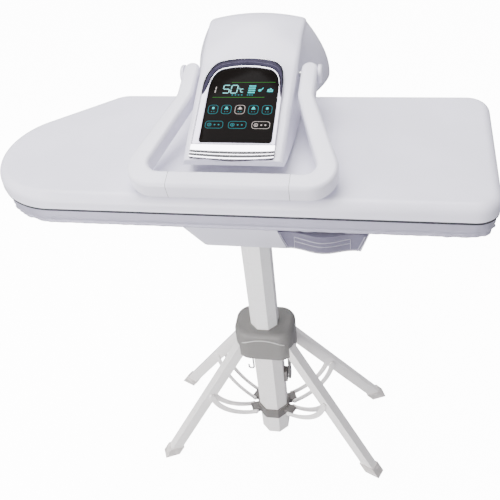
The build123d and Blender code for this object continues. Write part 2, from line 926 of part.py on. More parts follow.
# Bright frame round the glass, with a ledge under it
with BuildPart() as chrome_bezel:
    with BuildSketch(display.offset(-bezel_depth - glass_gap)):
        add(bezel_outline(-bar_high + pocket_gap))
        add(glass_outline(bezel_ledge))
    extrude(amount=bezel_depth - glass_thickness)
    with BuildSketch(display.offset(-glass_thickness - glass_gap)):
        add(bezel_outline(-bar_high + pocket_gap))
    extrude(amount=glass_thickness + glass_gap + bezel_proud)
    with BuildSketch(display.offset(-glass_thickness - glass_gap)):
        add(glass_outline())
    extrude(amount=glass_thickness + 2 * bezel_proud, mode=Mode.SUBTRACT)
    with BuildSketch(display.offset(-2 * bezel_depth)):
        add(glass_outline(bezel_ledge))
    extrude(amount=2 * bezel_depth, mode=Mode.SUBTRACT)
save(chrome_bezel, "chrome_bezel")

# Bright bar below the glass with its two grooves
with BuildPart() as chrome_bar:
    with BuildSketch(display.offset(-bezel_depth)):
        with Locations((0, -(bar_low + bar_high) / 2)):
            Rectangle(2 * bezel_half, bar_low - bar_high)
    extrude(amount=bezel_depth + bar_proud)
    fillet(chrome_bar.faces().sort_by(Axis.Z)[-1].edges().filter_by(Axis.X), radius=bar_proud / 2)
    with BuildSketch(display.offset(bar_proud - groove_depth)):
        with Locations((0, -groove_first), (0, -groove_second)):
            Rectangle(2 * bezel_half, groove_width)
    extrude(amount=groove_depth + overrun, mode=Mode.SUBTRACT)
save(chrome_bar, "chrome_bar")

# Control board under the glass
with BuildPart() as control_board:
    with BuildSketch(display.offset(-glass_thickness)):
        with Locations((0, glass_side / 2 - board_margin)):
            Rectangle(2 * (glass_half - board_margin), glass_side - 3 * board_margin)
    extrude(amount=-board_thick)
save(control_board, "control_board")

# Head cover, section by section from its front lip to the back wall: place along Y, underside, half
# widths at the foot, halfway up and at the crease, height of the crease and height of the middle
head_sections = (
    (-130.0, 36.0, 97.0, 96.3, 96.0, 46.0, 50.0),
    (-100.0, 27.0, 98.0, 97.3, 97.0, 56.0, 60.5),
    (-50.0, 17.0, 99.4, 98.2, 97.7, 71.5, 76.5),
    (0.0, 8.0, 101.0, 99.3, 98.5, 87.0, 92.5),
    (55.0, 4.0, 102.0, 100.3, 99.4, 102.5, 110.0),
    (110.0, 2.5, 103.0, 101.3, 100.5, 118.0, 127.0),
    (140.0, 2.0, 106.0, 103.4, 102.0, 129.0, 139.0),
    (200.0, 2.0, 130.0, 123.0, 102.5, 145.0, 158.0),
    (245.0, 2.0, 146.0, 137.0, 104.0, 148.0, 161.0),
    (272.0, 2.0, 149.0, 138.0, 100.0, 130.0, 144.0),
    (284.0, 2.0, 146.0, 134.0, 96.5, 108.0, 121.0),
    (292.0, 2.0, 140.0, 128.0, 92.0, 82.0, 94.0),
)
crease_round = 7.0
foot_drop = 8.0


def head_loft(inset, drop):
    """The head's outer form drawn in by inset, its underside lowered by drop."""
    with BuildPart() as form:
        first, last = head_sections[0][0], head_sections[-1][0]
        for y, low, foot, middle, crease, crease_z, crown in head_sections:
            place = min(max(y, first + inset), last - inset)
            wide, narrow = foot - inset, crease - inset
            shoulder_z = crease_z - inset
            waist = middle - inset
            foot_z = low - drop
            knee_z = shoulder_z + crease_round / 2
            with BuildSketch(Plane(origin=(0, place, 0), x_dir=(1, 0, 0), z_dir=(0, -1, 0))):
                with BuildLine():
                    Line((head_shift - wide, foot_z), (head_shift + wide, foot_z))
                    for side in (-1, 1):
                        ThreePointArc(
                            (head_shift + side * wide, foot_z),
                            (head_shift + side * waist, (foot_z + shoulder_z - crease_round) / 2),
                            (head_shift + side * narrow, shoulder_z - crease_round),
                        )
                        ThreePointArc(
                            (head_shift + side * narrow, shoulder_z - crease_round),
                            (head_shift + side * (narrow - crease_round / 4), shoulder_z - crease_round / 4),
                            (head_shift + side * (narrow - crease_round), knee_z - crease_round / 4),
                        )
                    ThreePointArc(
                        (head_shift - narrow + crease_round, knee_z - crease_round / 4),
                        (head_shift, crown - inset),
                        (head_shift + narrow - crease_round, knee_z - crease_round / 4),
                    )
                make_face()
        loft()
    return form.part


head_outer = head_loft(0, 0)
head_inner = head_loft(head_wall, foot_drop)
with BuildPart(deck) as head_cover:
    add(head_outer)
    add(head_inner, mode=Mode.SUBTRACT)
    with BuildSketch(display):
        add(bezel_outline(-bar_low - pocket_gap, -pocket_gap))
    extrude(amount=window_depth, both=True, mode=Mode.SUBTRACT)
    with BuildSketch(side_plane(head_shift)):
        with Locations((pivot_back, pivot_level)):
            Circle(handle_shaft_radius + pocket_gap)
    extrude(amount=2 * arm_half, both=True, mode=Mode.SUBTRACT)
save(head_cover, "head_cover")

# Shaft that carries the handle, through the arm and both flanks
with BuildPart(deck) as handle_shaft:
    with Locations((head_shift, pivot_back, pivot_level)):
        Cylinder(
            radius=handle_shaft_radius,
            height=2 * (arm_inner + arm_width + cap_gap + cap_seat),
            rotation=(0, 90, 0),
        )
save(handle_shaft, "handle_shaft")

# Handle, a flat bow in the plane from its pivot to the front bar
handle_slope = atan2(pivot_level - bar_level, pivot_back + bar_front)
bow = Plane(
    origin=(head_shift, pivot_back - column_setback, deck_height + pivot_level),
    x_dir=(-1, 0, 0),
    z_dir=(0, -sin(handle_slope), cos(handle_slope)),
)
bow_reach = hypot(pivot_level - bar_level, pivot_back + bar_front)
bar_out, bar_in = bow_reach + bar_width / 2, bow_reach - bar_width / 2
arm_outer = arm_inner + arm_width
right_side = (
    (arm_inner, 0, 0),
    (arm_inner, arm_bend, arm_bend_round),
    (bar_inner_half, bar_in, bar_inner_corner),
)
left_turn = (
    (bar_outer_half, bar_out, bar_outer_corner),
    (arm_outer, arm_bend, arm_bend_round),
    (arm_outer, 0, 0),
)
with BuildPart() as handle_blank:
    with BuildSketch(bow):
        points = [(x, y, r) for x, y, r in right_side]
        points += [(-x, y, r) for x, y, r in reversed(right_side)]
        points += [(-x, y, r) for x, y, r in reversed(left_turn)]
        points += [(x, y, r) for x, y, r in left_turn]
        with BuildLine():
            FilletPolyline(
                *[(x, y) for x, y, r in points], radius=[r for x, y, r in points], close=True
            )
        make_face()
        with Locations((arm_inner + arm_width / 2, 0), (-arm_inner - arm_width / 2, 0)):
            Circle(arm_width / 2)
    extrude(amount=handle_thickness / 2, both=True)
    fillet(
        handle_blank.faces().filter_by(bow).edges(),
        radius=handle_round,
    )
with BuildPart() as grip_zone:
    with BuildSketch(bow):
        with Locations((0, bow_reach)):
            Rectangle(2 * grip_half, 2 * bar_width)
    extrude(amount=handle_thickness, both=True)
with BuildPart() as grip_core:
    with BuildSketch(bow):
        with Locations((0, bow_reach)):
            Rectangle(2 * grip_half, bar_width - 2 * grip_skin)
    extrude(amount=handle_thickness / 2 - grip_skin, both=True)
    fillet(grip_core.edges().filter_by(Axis.X), radius=handle_round / 2)
with BuildPart() as handle_sleeve:
    add(handle_blank.part)
    add(grip_zone.part, mode=Mode.INTERSECT)
    add(grip_core.part, mode=Mode.SUBTRACT)
save(handle_sleeve, "grip_sleeve")
with BuildPart() as handle:
    add(handle_blank.part)
    add(grip_zone.part, mode=Mode.SUBTRACT)
    add(grip_core.part)
    with BuildSketch(side_plane(head_shift)):
        with Locations((pivot_back, pivot_level)):
            Circle(handle_shaft_radius + running_gap)
    extrude(amount=2 * arm_outer, both=True, mode=Mode.SUBTRACT)
save(handle, "handle")

# Domed caps over the ends of the handle's shaft
with BuildPart(deck) as pivot_caps:
    for side in (-1, 1):
        with Locations(
            (head_shift + side * (arm_outer + cap_gap + cap_thickness / 2), pivot_back, pivot_level)
        ):
            Cylinder(radius=cap_radius, height=cap_thickness, rotation=(0, 90, 0))
    domes = pivot_caps.faces().filter_by(Axis.X).sort_by(Axis.X)
    fillet(domes[0].edges() + domes[-1].edges(), radius=cap_round)
    with Locations((head_shift, pivot_back, pivot_level)):
        Cylinder(
            radius=handle_shaft_radius,
            height=2 * (arm_outer + cap_gap + cap_seat),
            rotation=(0, 90, 0),
            mode=Mode.SUBTRACT,
        )
save(pivot_caps, "pivot_caps")

# Outer tube of the column
tube_top = hub_top - hub_cap
outer_inner_flats = outer_flats - 2 * outer_wall
crank_level = hub_bottom - crank_drop
with BuildPart() as outer_tube:
    add(octagon(Plane.XY, outer_flats, tube_floor_gap, tube_top))
    add(octagon(Plane.XY, outer_inner_flats, tube_floor_gap, tube_top), mode=Mode.SUBTRACT)
    with Locations((0, 0, crank_level)):
        Cylinder(
            radius=crank_shaft_radius + crank_hole_gap,
            height=2 * outer_flats,
            rotation=(0, 90, 0),
            mode=Mode.SUBTRACT,
        )
save(outer_tube, "outer_tube")

# Guide bush in the top of the outer tube
with BuildPart() as upper_guide:
    add(octagon(Plane.XY, outer_inner_flats - guide_gap, tube_top - guide_length, tube_top))
    add(
        octagon(Plane.XY, inner_flats + 2 * guide_gap, tube_top - guide_length, tube_top),
        mode=Mode.SUBTRACT,
    )
save(upper_guide, "upper_guide")

# Inner tube with the slots that clear the crank's shaft
slot_low = crank_level - crank_shaft_radius - overrun
slot_high = crank_level + height_travel + crank_shaft_radius + overrun
inner_low = slot_low - lower_guide_length
inner_inner_flats = inner_flats - 2 * inner_wall
with BuildPart() as inner_tube:
    add(octagon(Plane.XY, inner_flats, inner_low, plate_bottom))
    add(octagon(Plane.XY, inner_inner_flats, inner_low, plate_bottom), mode=Mode.SUBTRACT)
    with Locations((0, 0, (slot_low + slot_high) / 2)):
        Box(
            2 * inner_flats,
            2 * crank_shaft_radius + 2 * overrun,
            slot_high - slot_low,
            mode=Mode.SUBTRACT,
        )
save(inner_tube, "inner_tube")

# Guide bush on the foot of the inner tube
with BuildPart() as lower_guide:
    add(octagon(Plane.XY, outer_inner_flats - 2 * guide_gap, inner_low, slot_low))
    add(octagon(Plane.XY, inner_flats, inner_low, slot_low), mode=Mode.SUBTRACT)
save(lower_guide, "lower_guide")

# Rack inside the inner tube and the pinion in mesh with it, a gap facing a tooth at the shaft's level
module = 2 * pitch_radius / tooth_count
tooth_pitch = pi * module
flank = tan(radians(20))
rack_low, rack_high = inner_low, crank_level + height_travel + rack_overrun
rack_teeth = int((rack_high - crank_level) / tooth_pitch)
rack_teeth_below = int((crank_level - rack_low) / tooth_pitch)
rack_back = inner_inner_flats / 2
half_tooth = tooth_pitch / 4 - tooth_thin / 2
with BuildPart() as rack:
    with BuildSketch(Plane.YZ):
        rack_root = pitch_radius + tooth_dedendum
        with Locations(((rack_root + rack_back) / 2, (rack_low + rack_high) / 2)):
            Rectangle(rack_back - rack_root, rack_high - rack_low)
        for number in range(-rack_teeth_below, rack_teeth):
            middle = crank_level + (number + 1 / 2) * tooth_pitch
            root_half = half_tooth + flank * tooth_dedendum
            tip_half = half_tooth - flank * tooth_addendum
            with BuildLine():
                Polyline(
                    (rack_root, middle - root_half),
                    (pitch_radius - tooth_addendum, middle - tip_half),
                    (pitch_radius - tooth_addendum, middle + tip_half),
                    (rack_root, middle + root_half),
                    close=True,
                )
            make_face()
    extrude(amount=rack_width / 2, both=True)
save(rack, "rack")

shaft_out = outer_flats / 2 + crank_block_depth + crank_arm_gap + crank_arm_thickness
with BuildPart() as crank_shaft:
    with BuildSketch(Plane.YZ):
        with Locations((0, crank_level)):
            Circle(pitch_radius - tooth_dedendum)
        for number in range(tooth_count):
            turn = 2 * pi * number / tooth_count
            corners = []
            for radius, half in (
                (pitch_radius - 3 * tooth_dedendum / 2, half_tooth + flank * tooth_dedendum / 2),
                (pitch_radius, half_tooth),
                (pitch_radius + tooth_addendum, half_tooth - flank * tooth_addendum * 3 / 2),
            ):
                corners.append((radius, half))
            outline = [(r, -h) for r, h in corners] + [(r, h) for r, h in reversed(corners)]
            with BuildLine():
                Polyline(
                    *[
                        (r * cos(turn) - h * sin(turn), crank_level + r * sin(turn) + h * cos(turn))
                        for r, h in outline
                    ],
                    close=True,
                )
            make_face()
    extrude(amount=pinion_width / 2, both=True)
    with Locations(((shaft_out - outer_flats / 2) / 2, 0, crank_level)):
        Cylinder(
            radius=crank_shaft_radius, height=shaft_out + outer_flats / 2, rotation=(0, 90, 0)
        )
save(crank_shaft, "crank_shaft")

# Bearing block of the crank on the outer tube
with BuildPart() as crank_block_part:
    with Locations((outer_flats / 2 + crank_block_depth / 2, 0, crank_level)):
        Box(crank_block_depth, crank_block * 2 / 3, crank_block)
    fillet(crank_block_part.edges().filter_by(Axis.X), radius=crank_block_round)
    with Locations((outer_flats / 2 + crank_block_depth / 2, 0, crank_level)):
        Cylinder(
            radius=crank_shaft_radius + running_gap,
            height=2 * crank_block_depth,
            rotation=(0, 90, 0),
            mode=Mode.SUBTRACT,
        )
save(crank_block_part, "crank_block")

# Crank arm, broad at the shaft and narrow at the knob
arm_inside = outer_flats / 2 + crank_block_depth + crank_arm_gap
with BuildPart() as crank_arm:
    with BuildSketch(Plane.YZ.offset(arm_inside)):
        with Locations((0, crank_level)):
            Circle(crank_hub_radius)
        with Locations((0, crank_level + crank_arm_length)):
            Circle(crank_tip_radius)
        make_hull()
        with Locations((0, crank_level)):
            Circle(crank_shaft_radius, mode=Mode.SUBTRACT)
    extrude(amount=crank_arm_thickness)
    with BuildSketch(Plane.YZ.offset(arm_inside + crank_arm_thickness)):
        with Locations((0, crank_level + crank_arm_length)):
            Circle(knob_pin_radius)
    extrude(amount=knob_length + 2 * knob_gap)
    with BuildSketch(Plane.YZ.offset(arm_inside + crank_arm_thickness + knob_length + 2 * knob_gap)):
        with Locations((0, crank_level + crank_arm_length)):
            Circle(2 * knob_pin_radius)
    extrude(amount=knob_pin_head)
save(crank_arm, "crank_arm")

# Turning knob on the crank's pin
with BuildPart() as crank_knob:
    with BuildSketch(Plane.YZ.offset(arm_inside + crank_arm_thickness + knob_gap)):
        with Locations((0, crank_level + crank_arm_length)):
            Circle(knob_radius)
    extrude(amount=knob_length)
    fillet(crank_knob.edges(), radius=knob_pin_head)
    with BuildSketch(Plane.YZ.offset(arm_inside)):
        with Locations((0, crank_level + crank_arm_length)):
            Circle(knob_pin_radius + running_gap)
    extrude(amount=2 * knob_length, mode=Mode.SUBTRACT)
save(crank_knob, "crank_knob")

# Mounting plate on top of the inner tube, with the sleeve that holds the tube
with BuildPart() as mount_plate:
    with BuildSketch(Plane.XY.offset(plate_bottom)):
        RectangleRounded(plate_width, plate_depth, base_corner)
    extrude(amount=plate_thickness)
    add(octagon(Plane.XY, inner_flats + 2 * plate_socket_wall, plate_bottom - socket_height, plate_bottom))
    add(
        octagon(Plane.XY, inner_flats, plate_bottom - socket_height, plate_bottom), mode=Mode.SUBTRACT
    )
    with BuildSketch(Plane.XY.offset(plate_bottom)):
        with GridLocations(2 * plate_bolt_x, 2 * plate_bolt_y, 2, 2):
            Circle(bolt_radius)
    extrude(amount=plate_thickness, mode=Mode.SUBTRACT)
save(mount_plate, "mount_plate")

# Bolts from the plate into the case
with BuildPart() as mount_bolts:
    with BuildSketch(Plane.XY.offset(plate_bottom - bolt_head)):
        with GridLocations(2 * plate_bolt_x, 2 * plate_bolt_y, 2, 2):
            RegularPolygon(radius=bolt_head_radius, side_count=6)
    extrude(amount=bolt_head)
    with BuildSketch(Plane.XY.offset(plate_bottom)):
        with GridLocations(2 * plate_bolt_x, 2 * plate_bolt_y, 2, 2):
            Circle(bolt_radius)
    extrude(amount=plate_thickness)
save(mount_bolts, "mount_bolts")

azimuths = {
    "back_right": leg_azimuth,
    "back_left": 180 - leg_azimuth,
    "front_left": 180 + leg_azimuth,
    "front_right": -leg_azimuth,
}


def outward(azimuth):
    """The level direction away from the column at an azimuth."""
    return Vector(cos(radians(azimuth)), sin(radians(azimuth)), 0)


def across(azimuth):
    """The level direction square to outward, anticlockwise from above."""
    return Vector(-sin(radians(azimuth)), cos(radians(azimuth)), 0)


def upright(azimuth):
    """The upright plane through the column's axis at an azimuth: distance out, and height."""
    return Plane(origin=(0, 0, 0), x_dir=outward(azimuth), z_dir=-across(azimuth))


# Hub casting: slots for the legs, the octagonal hole and the ears of the transport hook
hook_pin_level = hub_bottom - hook_ear_drop
slot_width = leg_width + 2 * hub_slot_gap
hub_height = hub_below_pivot + hub_above_pivot
with BuildPart() as hub:
    with BuildSketch(Plane.XY.offset(hub_bottom)):
        RectangleRounded(hub_width, hub_depth, hub_corner)
    extrude(amount=hub_height)
    fillet(hub.faces().sort_by(Axis.Z)[-1].edges(), radius=hub_round)
    add(octagon(Plane.XY, outer_flats, hub_bottom, tube_top), mode=Mode.SUBTRACT)
    add(octagon(Plane.XY, inner_flats + 2 * guide_gap, tube_top, hub_top), mode=Mode.SUBTRACT)
    for azimuth in azimuths.values():
        with BuildSketch(upright(azimuth)):
            slot_top = pivot_height + leg_thickness / 2 + hub_slot_gap
            with Locations(((hub_slot_start + hub_width) / 2, (hub_bottom - overrun + slot_top) / 2)):
                Rectangle(hub_width - hub_slot_start, slot_top - hub_bottom + overrun)
        extrude(amount=slot_width / 2, both=True, mode=Mode.SUBTRACT)
        with BuildSketch(upright(azimuth)):
            with Locations((leg_pivot_radius, pivot_height)):
                Circle(leg_pin_radius)
        extrude(amount=slot_width / 2 + overrun, both=True, mode=Mode.SUBTRACT)
    for side in (-1, 1):
        ear_place = side * (hook_eye_radius / 2 + hook_ear_gap + hook_ear_thickness / 2)
        with BuildSketch(Plane.XZ.offset(-ear_place)):
            with Locations((-hook_offset, hook_pin_level)):
                Circle(hook_eye_radius)
            with Locations((-hook_offset, hub_bottom - hook_ear_drop / 2)):
                Rectangle(2 * hook_eye_radius, hook_ear_drop)
        extrude(amount=hook_ear_thickness / 2, both=True)
    with BuildSketch(Plane.XZ):
        with Locations((-hook_offset, hook_pin_level)):
            Circle(hook_pin_radius)
    extrude(amount=2 * hook_eye_radius, both=True, mode=Mode.SUBTRACT)
save(hub, "hub")

# Pins of the legs and of the hook
with BuildPart() as hub_pins:
    for azimuth in azimuths.values():
        with BuildSketch(upright(azimuth)):
            with Locations((leg_pivot_radius, pivot_height)):
                Circle(leg_pin_radius)
        extrude(amount=slot_width / 2 + overrun, both=True)
    with BuildSketch(Plane.XZ):
        with Locations((-hook_offset, hook_pin_level)):
            Circle(hook_pin_radius)
    extrude(amount=hook_eye_radius / 2 + hook_ear_gap + hook_ear_thickness, both=True)
save(hub_pins, "hub_pins")

# Transport hook that hangs beside the tube
hook_low = hook_pin_level - hook_length
with BuildPart() as transport_hook:
    with BuildLine() as hook_path:
        FilletPolyline(
            (-hook_offset, 0, hook_pin_level),
            (-hook_offset, 0, hook_low),
            (-hook_offset - 2 * hook_turn, 0, hook_low),
            (-hook_offset - 2 * hook_turn, 0, hook_low + 2 * hook_turn),
            radius=hook_turn - hook_pin_radius / 2,
        )
    with BuildSketch(Plane(origin=(-hook_offset, 0, hook_pin_level), z_dir=(0, 0, -1))):
        Circle(hook_rod_radius)
    sweep(path=hook_path.wires()[0])
    with BuildSketch(Plane.XZ):
        with Locations((-hook_offset, hook_pin_level)):
            Circle(hook_eye_radius)
    extrude(amount=hook_eye_radius / 2, both=True)
    with BuildSketch(Plane.XZ):
        with Locations((-hook_offset, hook_pin_level)):
            Circle(hook_pin_radius + running_gap)
    extrude(amount=hook_eye_radius, both=True, mode=Mode.SUBTRACT)
save(transport_hook, "transport_hook")


def leg_plane(azimuth):
    """The leg's own side plane: origin at its pin, X down the leg."""
    along = outward(azimuth) * sin(radians(leg_spread)) - Vector(0, 0, cos(radians(leg_spread)))
    pin = outward(azimuth) * leg_pivot_radius + Vector(0, 0, pivot_height)
    return Plane(origin=pin, x_dir=along, z_dir=across(azimuth))


sole_reach = leg_length + leg_thickness
inside_width = leg_width - 2 * leg_wall
inside_thickness = leg_thickness - 2 * leg_wall
for name, azimuth in azimuths.items():
    side = leg_plane(azimuth)
    with BuildPart() as leg:
        with BuildSketch(side):
            Circle(leg_thickness / 2)
            with Locations((sole_reach / 2, 0)):
                Rectangle(sole_reach, leg_thickness)
        extrude(amount=leg_width / 2, both=True)
        with BuildSketch(side):
            with Locations((sole_reach / 2 + leg_thickness, 0)):
                Rectangle(sole_reach, inside_thickness)
        extrude(amount=inside_width / 2, both=True, mode=Mode.SUBTRACT)
        with BuildSketch(side):
            Circle(leg_pin_radius + running_gap)
        extrude(amount=leg_width, both=True, mode=Mode.SUBTRACT)
        split(bisect_by=Plane.XY.offset(foot_height), keep=Keep.TOP)
    save(leg, f"leg_{name}")
    with BuildPart() as boot:
        with BuildSketch(side):
            with Locations((leg_length, 0)):
                Rectangle(4 * boot_height, leg_thickness + 2 * boot_wall)
        extrude(amount=leg_width / 2 + boot_wall, both=True)
        split(bisect_by=Plane.XY.offset(boot_height), keep=Keep.BOTTOM)
        split(bisect_by=Plane.XY, keep=Keep.TOP)
    with BuildPart() as tube_space:
        with BuildSketch(side):
            with Locations((leg_length, 0)):
                Rectangle(4 * boot_height, leg_thickness)
        extrude(amount=leg_width / 2, both=True)
        split(bisect_by=Plane.XY.offset(foot_height), keep=Keep.TOP)
    with BuildPart() as plug:
        with BuildSketch(side):
            with Locations((leg_length, 0)):
                Rectangle(4 * boot_height, inside_thickness)
        extrude(amount=inside_width / 2, both=True)
        split(bisect_by=Plane.XY.offset(foot_height), keep=Keep.TOP)
        split(bisect_by=Plane.XY.offset(foot_height + boot_plug), keep=Keep.BOTTOM)
    with BuildPart() as foot:
        add(boot.part)
        add(tube_space.part, mode=Mode.SUBTRACT)
        add(plug.part)
    save(foot, f"foot_{name}")

# Collar that slides on the outer tube, with a lug for each strut
collar_level = pivot_height - collar_drop
collar_low, collar_high = collar_level - collar_height / 2, collar_level + collar_height / 2
with BuildPart() as collar:
    add(octagon(Plane.XY, outer_flats + 2 * (collar_gap + collar_wall), collar_low, collar_high))
    for azimuth in azimuths.values():
        with BuildSketch(upright(azimuth)):
            with Locations((lug_pin_radius_from_axis, collar_level)):
                Circle(lug_round)
            with Locations((lug_pin_radius_from_axis / 2, collar_level)):
                Rectangle(lug_pin_radius_from_axis, 2 * lug_round)
        extrude(amount=lug_half, both=True)
    add(
        octagon(
            Plane.XY, outer_flats + 2 * collar_gap, collar_low - overrun, collar_high + overrun
        ),
        mode=Mode.SUBTRACT,
    )
    for azimuth in azimuths.values():
        with BuildSketch(upright(azimuth)):
            with Locations((lug_pin_radius_from_axis, collar_level)):
                Circle(rivet_radius + running_gap)
        extrude(amount=leg_width, both=True, mode=Mode.SUBTRACT)
save(collar, "collar")

# Struts: two bowed flat bars each, either side of the leg, riveted at both ends
strut_low = Vector(lug_pin_radius_from_axis, collar_level)
strut_high = Vector(
    leg_pivot_radius + strut_attach * sin(radians(leg_spread)),
    pivot_height - strut_attach * cos(radians(leg_spread)),
)
strut_chord = (strut_high - strut_low).length
strut_run = (strut_high - strut_low).normalized()
strut_middle = (strut_low + strut_high) * 0.5 + Vector(strut_run.Y, -strut_run.X) * strut_bow
plate_inner = leg_width / 2 + strut_side_gap
plate_outer = plate_inner + strut_plate
for name, azimuth in azimuths.items():
    radial = upright(azimuth)
    with BuildPart() as strut:
        for side in (-1, 1):
            with BuildSketch(radial.offset(side * (plate_inner + plate_outer) / 2)):
                with BuildLine() as bowed:
                    ThreePointArc(strut_low, strut_middle, strut_high)
                trace(line_width=strut_width)
                with Locations(strut_low, strut_high):
                    Circle(strut_width / 2)
            extrude(amount=strut_plate / 2, both=True)
            with BuildSketch(radial.offset(side * (plate_outer + rivet_head_height / 2))):
                with Locations(strut_low, strut_high):
                    Circle(rivet_head)
            extrude(amount=rivet_head_height / 2, both=True)
        with BuildSketch(radial):
            with Locations(strut_low):
                Circle(rivet_radius)
        extrude(amount=plate_outer, both=True)
    save(strut, f"strut_{name}")

# The fold, worked out from the linkage: the struts' turn and the collar's travel
spread_lean = asin((strut_high.X - strut_low.X) / strut_chord)
folded_reach = leg_pivot_radius + strut_attach * sin(radians(leg_folded))
folded_lean = asin((folded_reach - lug_pin_radius_from_axis) / strut_chord)
folded_level = (
    pivot_height - strut_attach * cos(radians(leg_folded)) - strut_chord * cos(folded_lean)
)
print("deck", round(deck_height, 3), "pivot", round(pivot_height, 3), "hub", hub_bottom, hub_top)
print("collar travel", round(collar_level - folded_level, 4), "strut turn", degrees(spread_lean - folded_lean))
print("crank radians per metre", 1000 / pitch_radius)
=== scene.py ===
"""Looks of the steam ironing press: finishes, soft goods, display, studio and camera.

The press has a plane of its own, the deck, in the top face of the upper plate over the board's
centre. Its sizes are in millimetres from there, as in the part's source, and Deck turns them into
metres in the row's frame.
"""

from __future__ import annotations

import json
import logging
from contextlib import contextmanager
from dataclasses import dataclass, field
from enum import Enum
from math import cos, pi, radians, sin
from typing import Iterable, Iterator, Sequence

import bmesh
import bpy
import numpy as np
from mathutils import Matrix, Vector

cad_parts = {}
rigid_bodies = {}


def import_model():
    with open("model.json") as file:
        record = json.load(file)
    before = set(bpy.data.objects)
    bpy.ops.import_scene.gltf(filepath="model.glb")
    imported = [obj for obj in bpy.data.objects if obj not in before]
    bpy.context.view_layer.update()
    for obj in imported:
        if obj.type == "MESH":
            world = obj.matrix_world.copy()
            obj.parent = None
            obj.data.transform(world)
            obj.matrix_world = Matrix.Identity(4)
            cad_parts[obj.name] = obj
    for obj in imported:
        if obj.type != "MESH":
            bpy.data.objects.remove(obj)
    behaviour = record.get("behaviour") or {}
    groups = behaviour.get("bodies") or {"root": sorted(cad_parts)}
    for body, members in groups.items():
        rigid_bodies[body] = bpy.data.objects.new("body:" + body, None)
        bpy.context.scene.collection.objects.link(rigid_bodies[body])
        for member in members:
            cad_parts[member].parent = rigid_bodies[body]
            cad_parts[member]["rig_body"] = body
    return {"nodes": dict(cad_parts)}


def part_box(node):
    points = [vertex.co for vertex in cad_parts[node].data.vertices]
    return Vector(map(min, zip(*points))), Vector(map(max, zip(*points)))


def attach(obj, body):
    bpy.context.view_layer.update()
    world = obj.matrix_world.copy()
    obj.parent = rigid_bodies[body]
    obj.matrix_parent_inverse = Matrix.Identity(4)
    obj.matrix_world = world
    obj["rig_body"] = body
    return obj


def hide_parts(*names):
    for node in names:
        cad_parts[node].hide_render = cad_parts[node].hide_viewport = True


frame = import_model()
LOG = logging.getLogger("press")
Colour = tuple[float, float, float]
Pairs = Sequence[tuple[float, float]]

# Points within MERGE metres are one, faces within FLAT of each other are joined, and each octave of
# a noise weighs OCTAVE times the one before.
MERGE = 1e-6
FLAT = radians(0.6)
OCTAVE = 0.55


# Shaders


class Field:
    """A number or colour that varies over a surface; arithmetic on it adds Math nodes."""

    def __init__(self, shade: "Shade", socket: bpy.types.NodeSocket) -> None:
        """Wrap a node's output socket.

        Args:
            shade: The material under construction.
            socket: The output that carries the value.
        """
        self.shade = shade
        self.socket = socket

    def _maths(self, operation: str, *values: "Field | float") -> "Field":
        """Join values through one Math node."""
        return self.shade.node("ShaderNodeMath", {"operation": operation}, dict(enumerate(values)))

    def __add__(self, other: "Field | float") -> "Field":
        """The sum."""
        return self._maths("ADD", self, other)

    def __sub__(self, other: "Field | float") -> "Field":
        """The difference."""
        return self._maths("SUBTRACT", self, other)

    def __rsub__(self, other: float) -> "Field":
        """A number less this value."""
        return self._maths("SUBTRACT", other, self)

    def __mul__(self, other: "Field | float") -> "Field":
        """The product."""
        return self._maths("MULTIPLY", self, other)

    __radd__ = __add__

    def sine(self) -> "Field":
        """The sine, in radians."""
        return self._maths("SINE", self)

    def size(self) -> "Field":
        """The value without its sign."""
        return self._maths("ABSOLUTE", self)

    def above(self, edge: float, width: float) -> "Field":
        """0 below edge and 1 above edge + width, with a smooth step between."""
        return self.shade.node(
            "ShaderNodeMapRange",
            {"interpolation_type": "SMOOTHSTEP", "clamp": True},
            {"Value": self, "From Min": edge, "From Max": edge + width},
        )

    def about(self, span: float) -> "Field":
        """A noise's distance from its middle of 0.5, times a span."""
        return (self - 0.5) * span


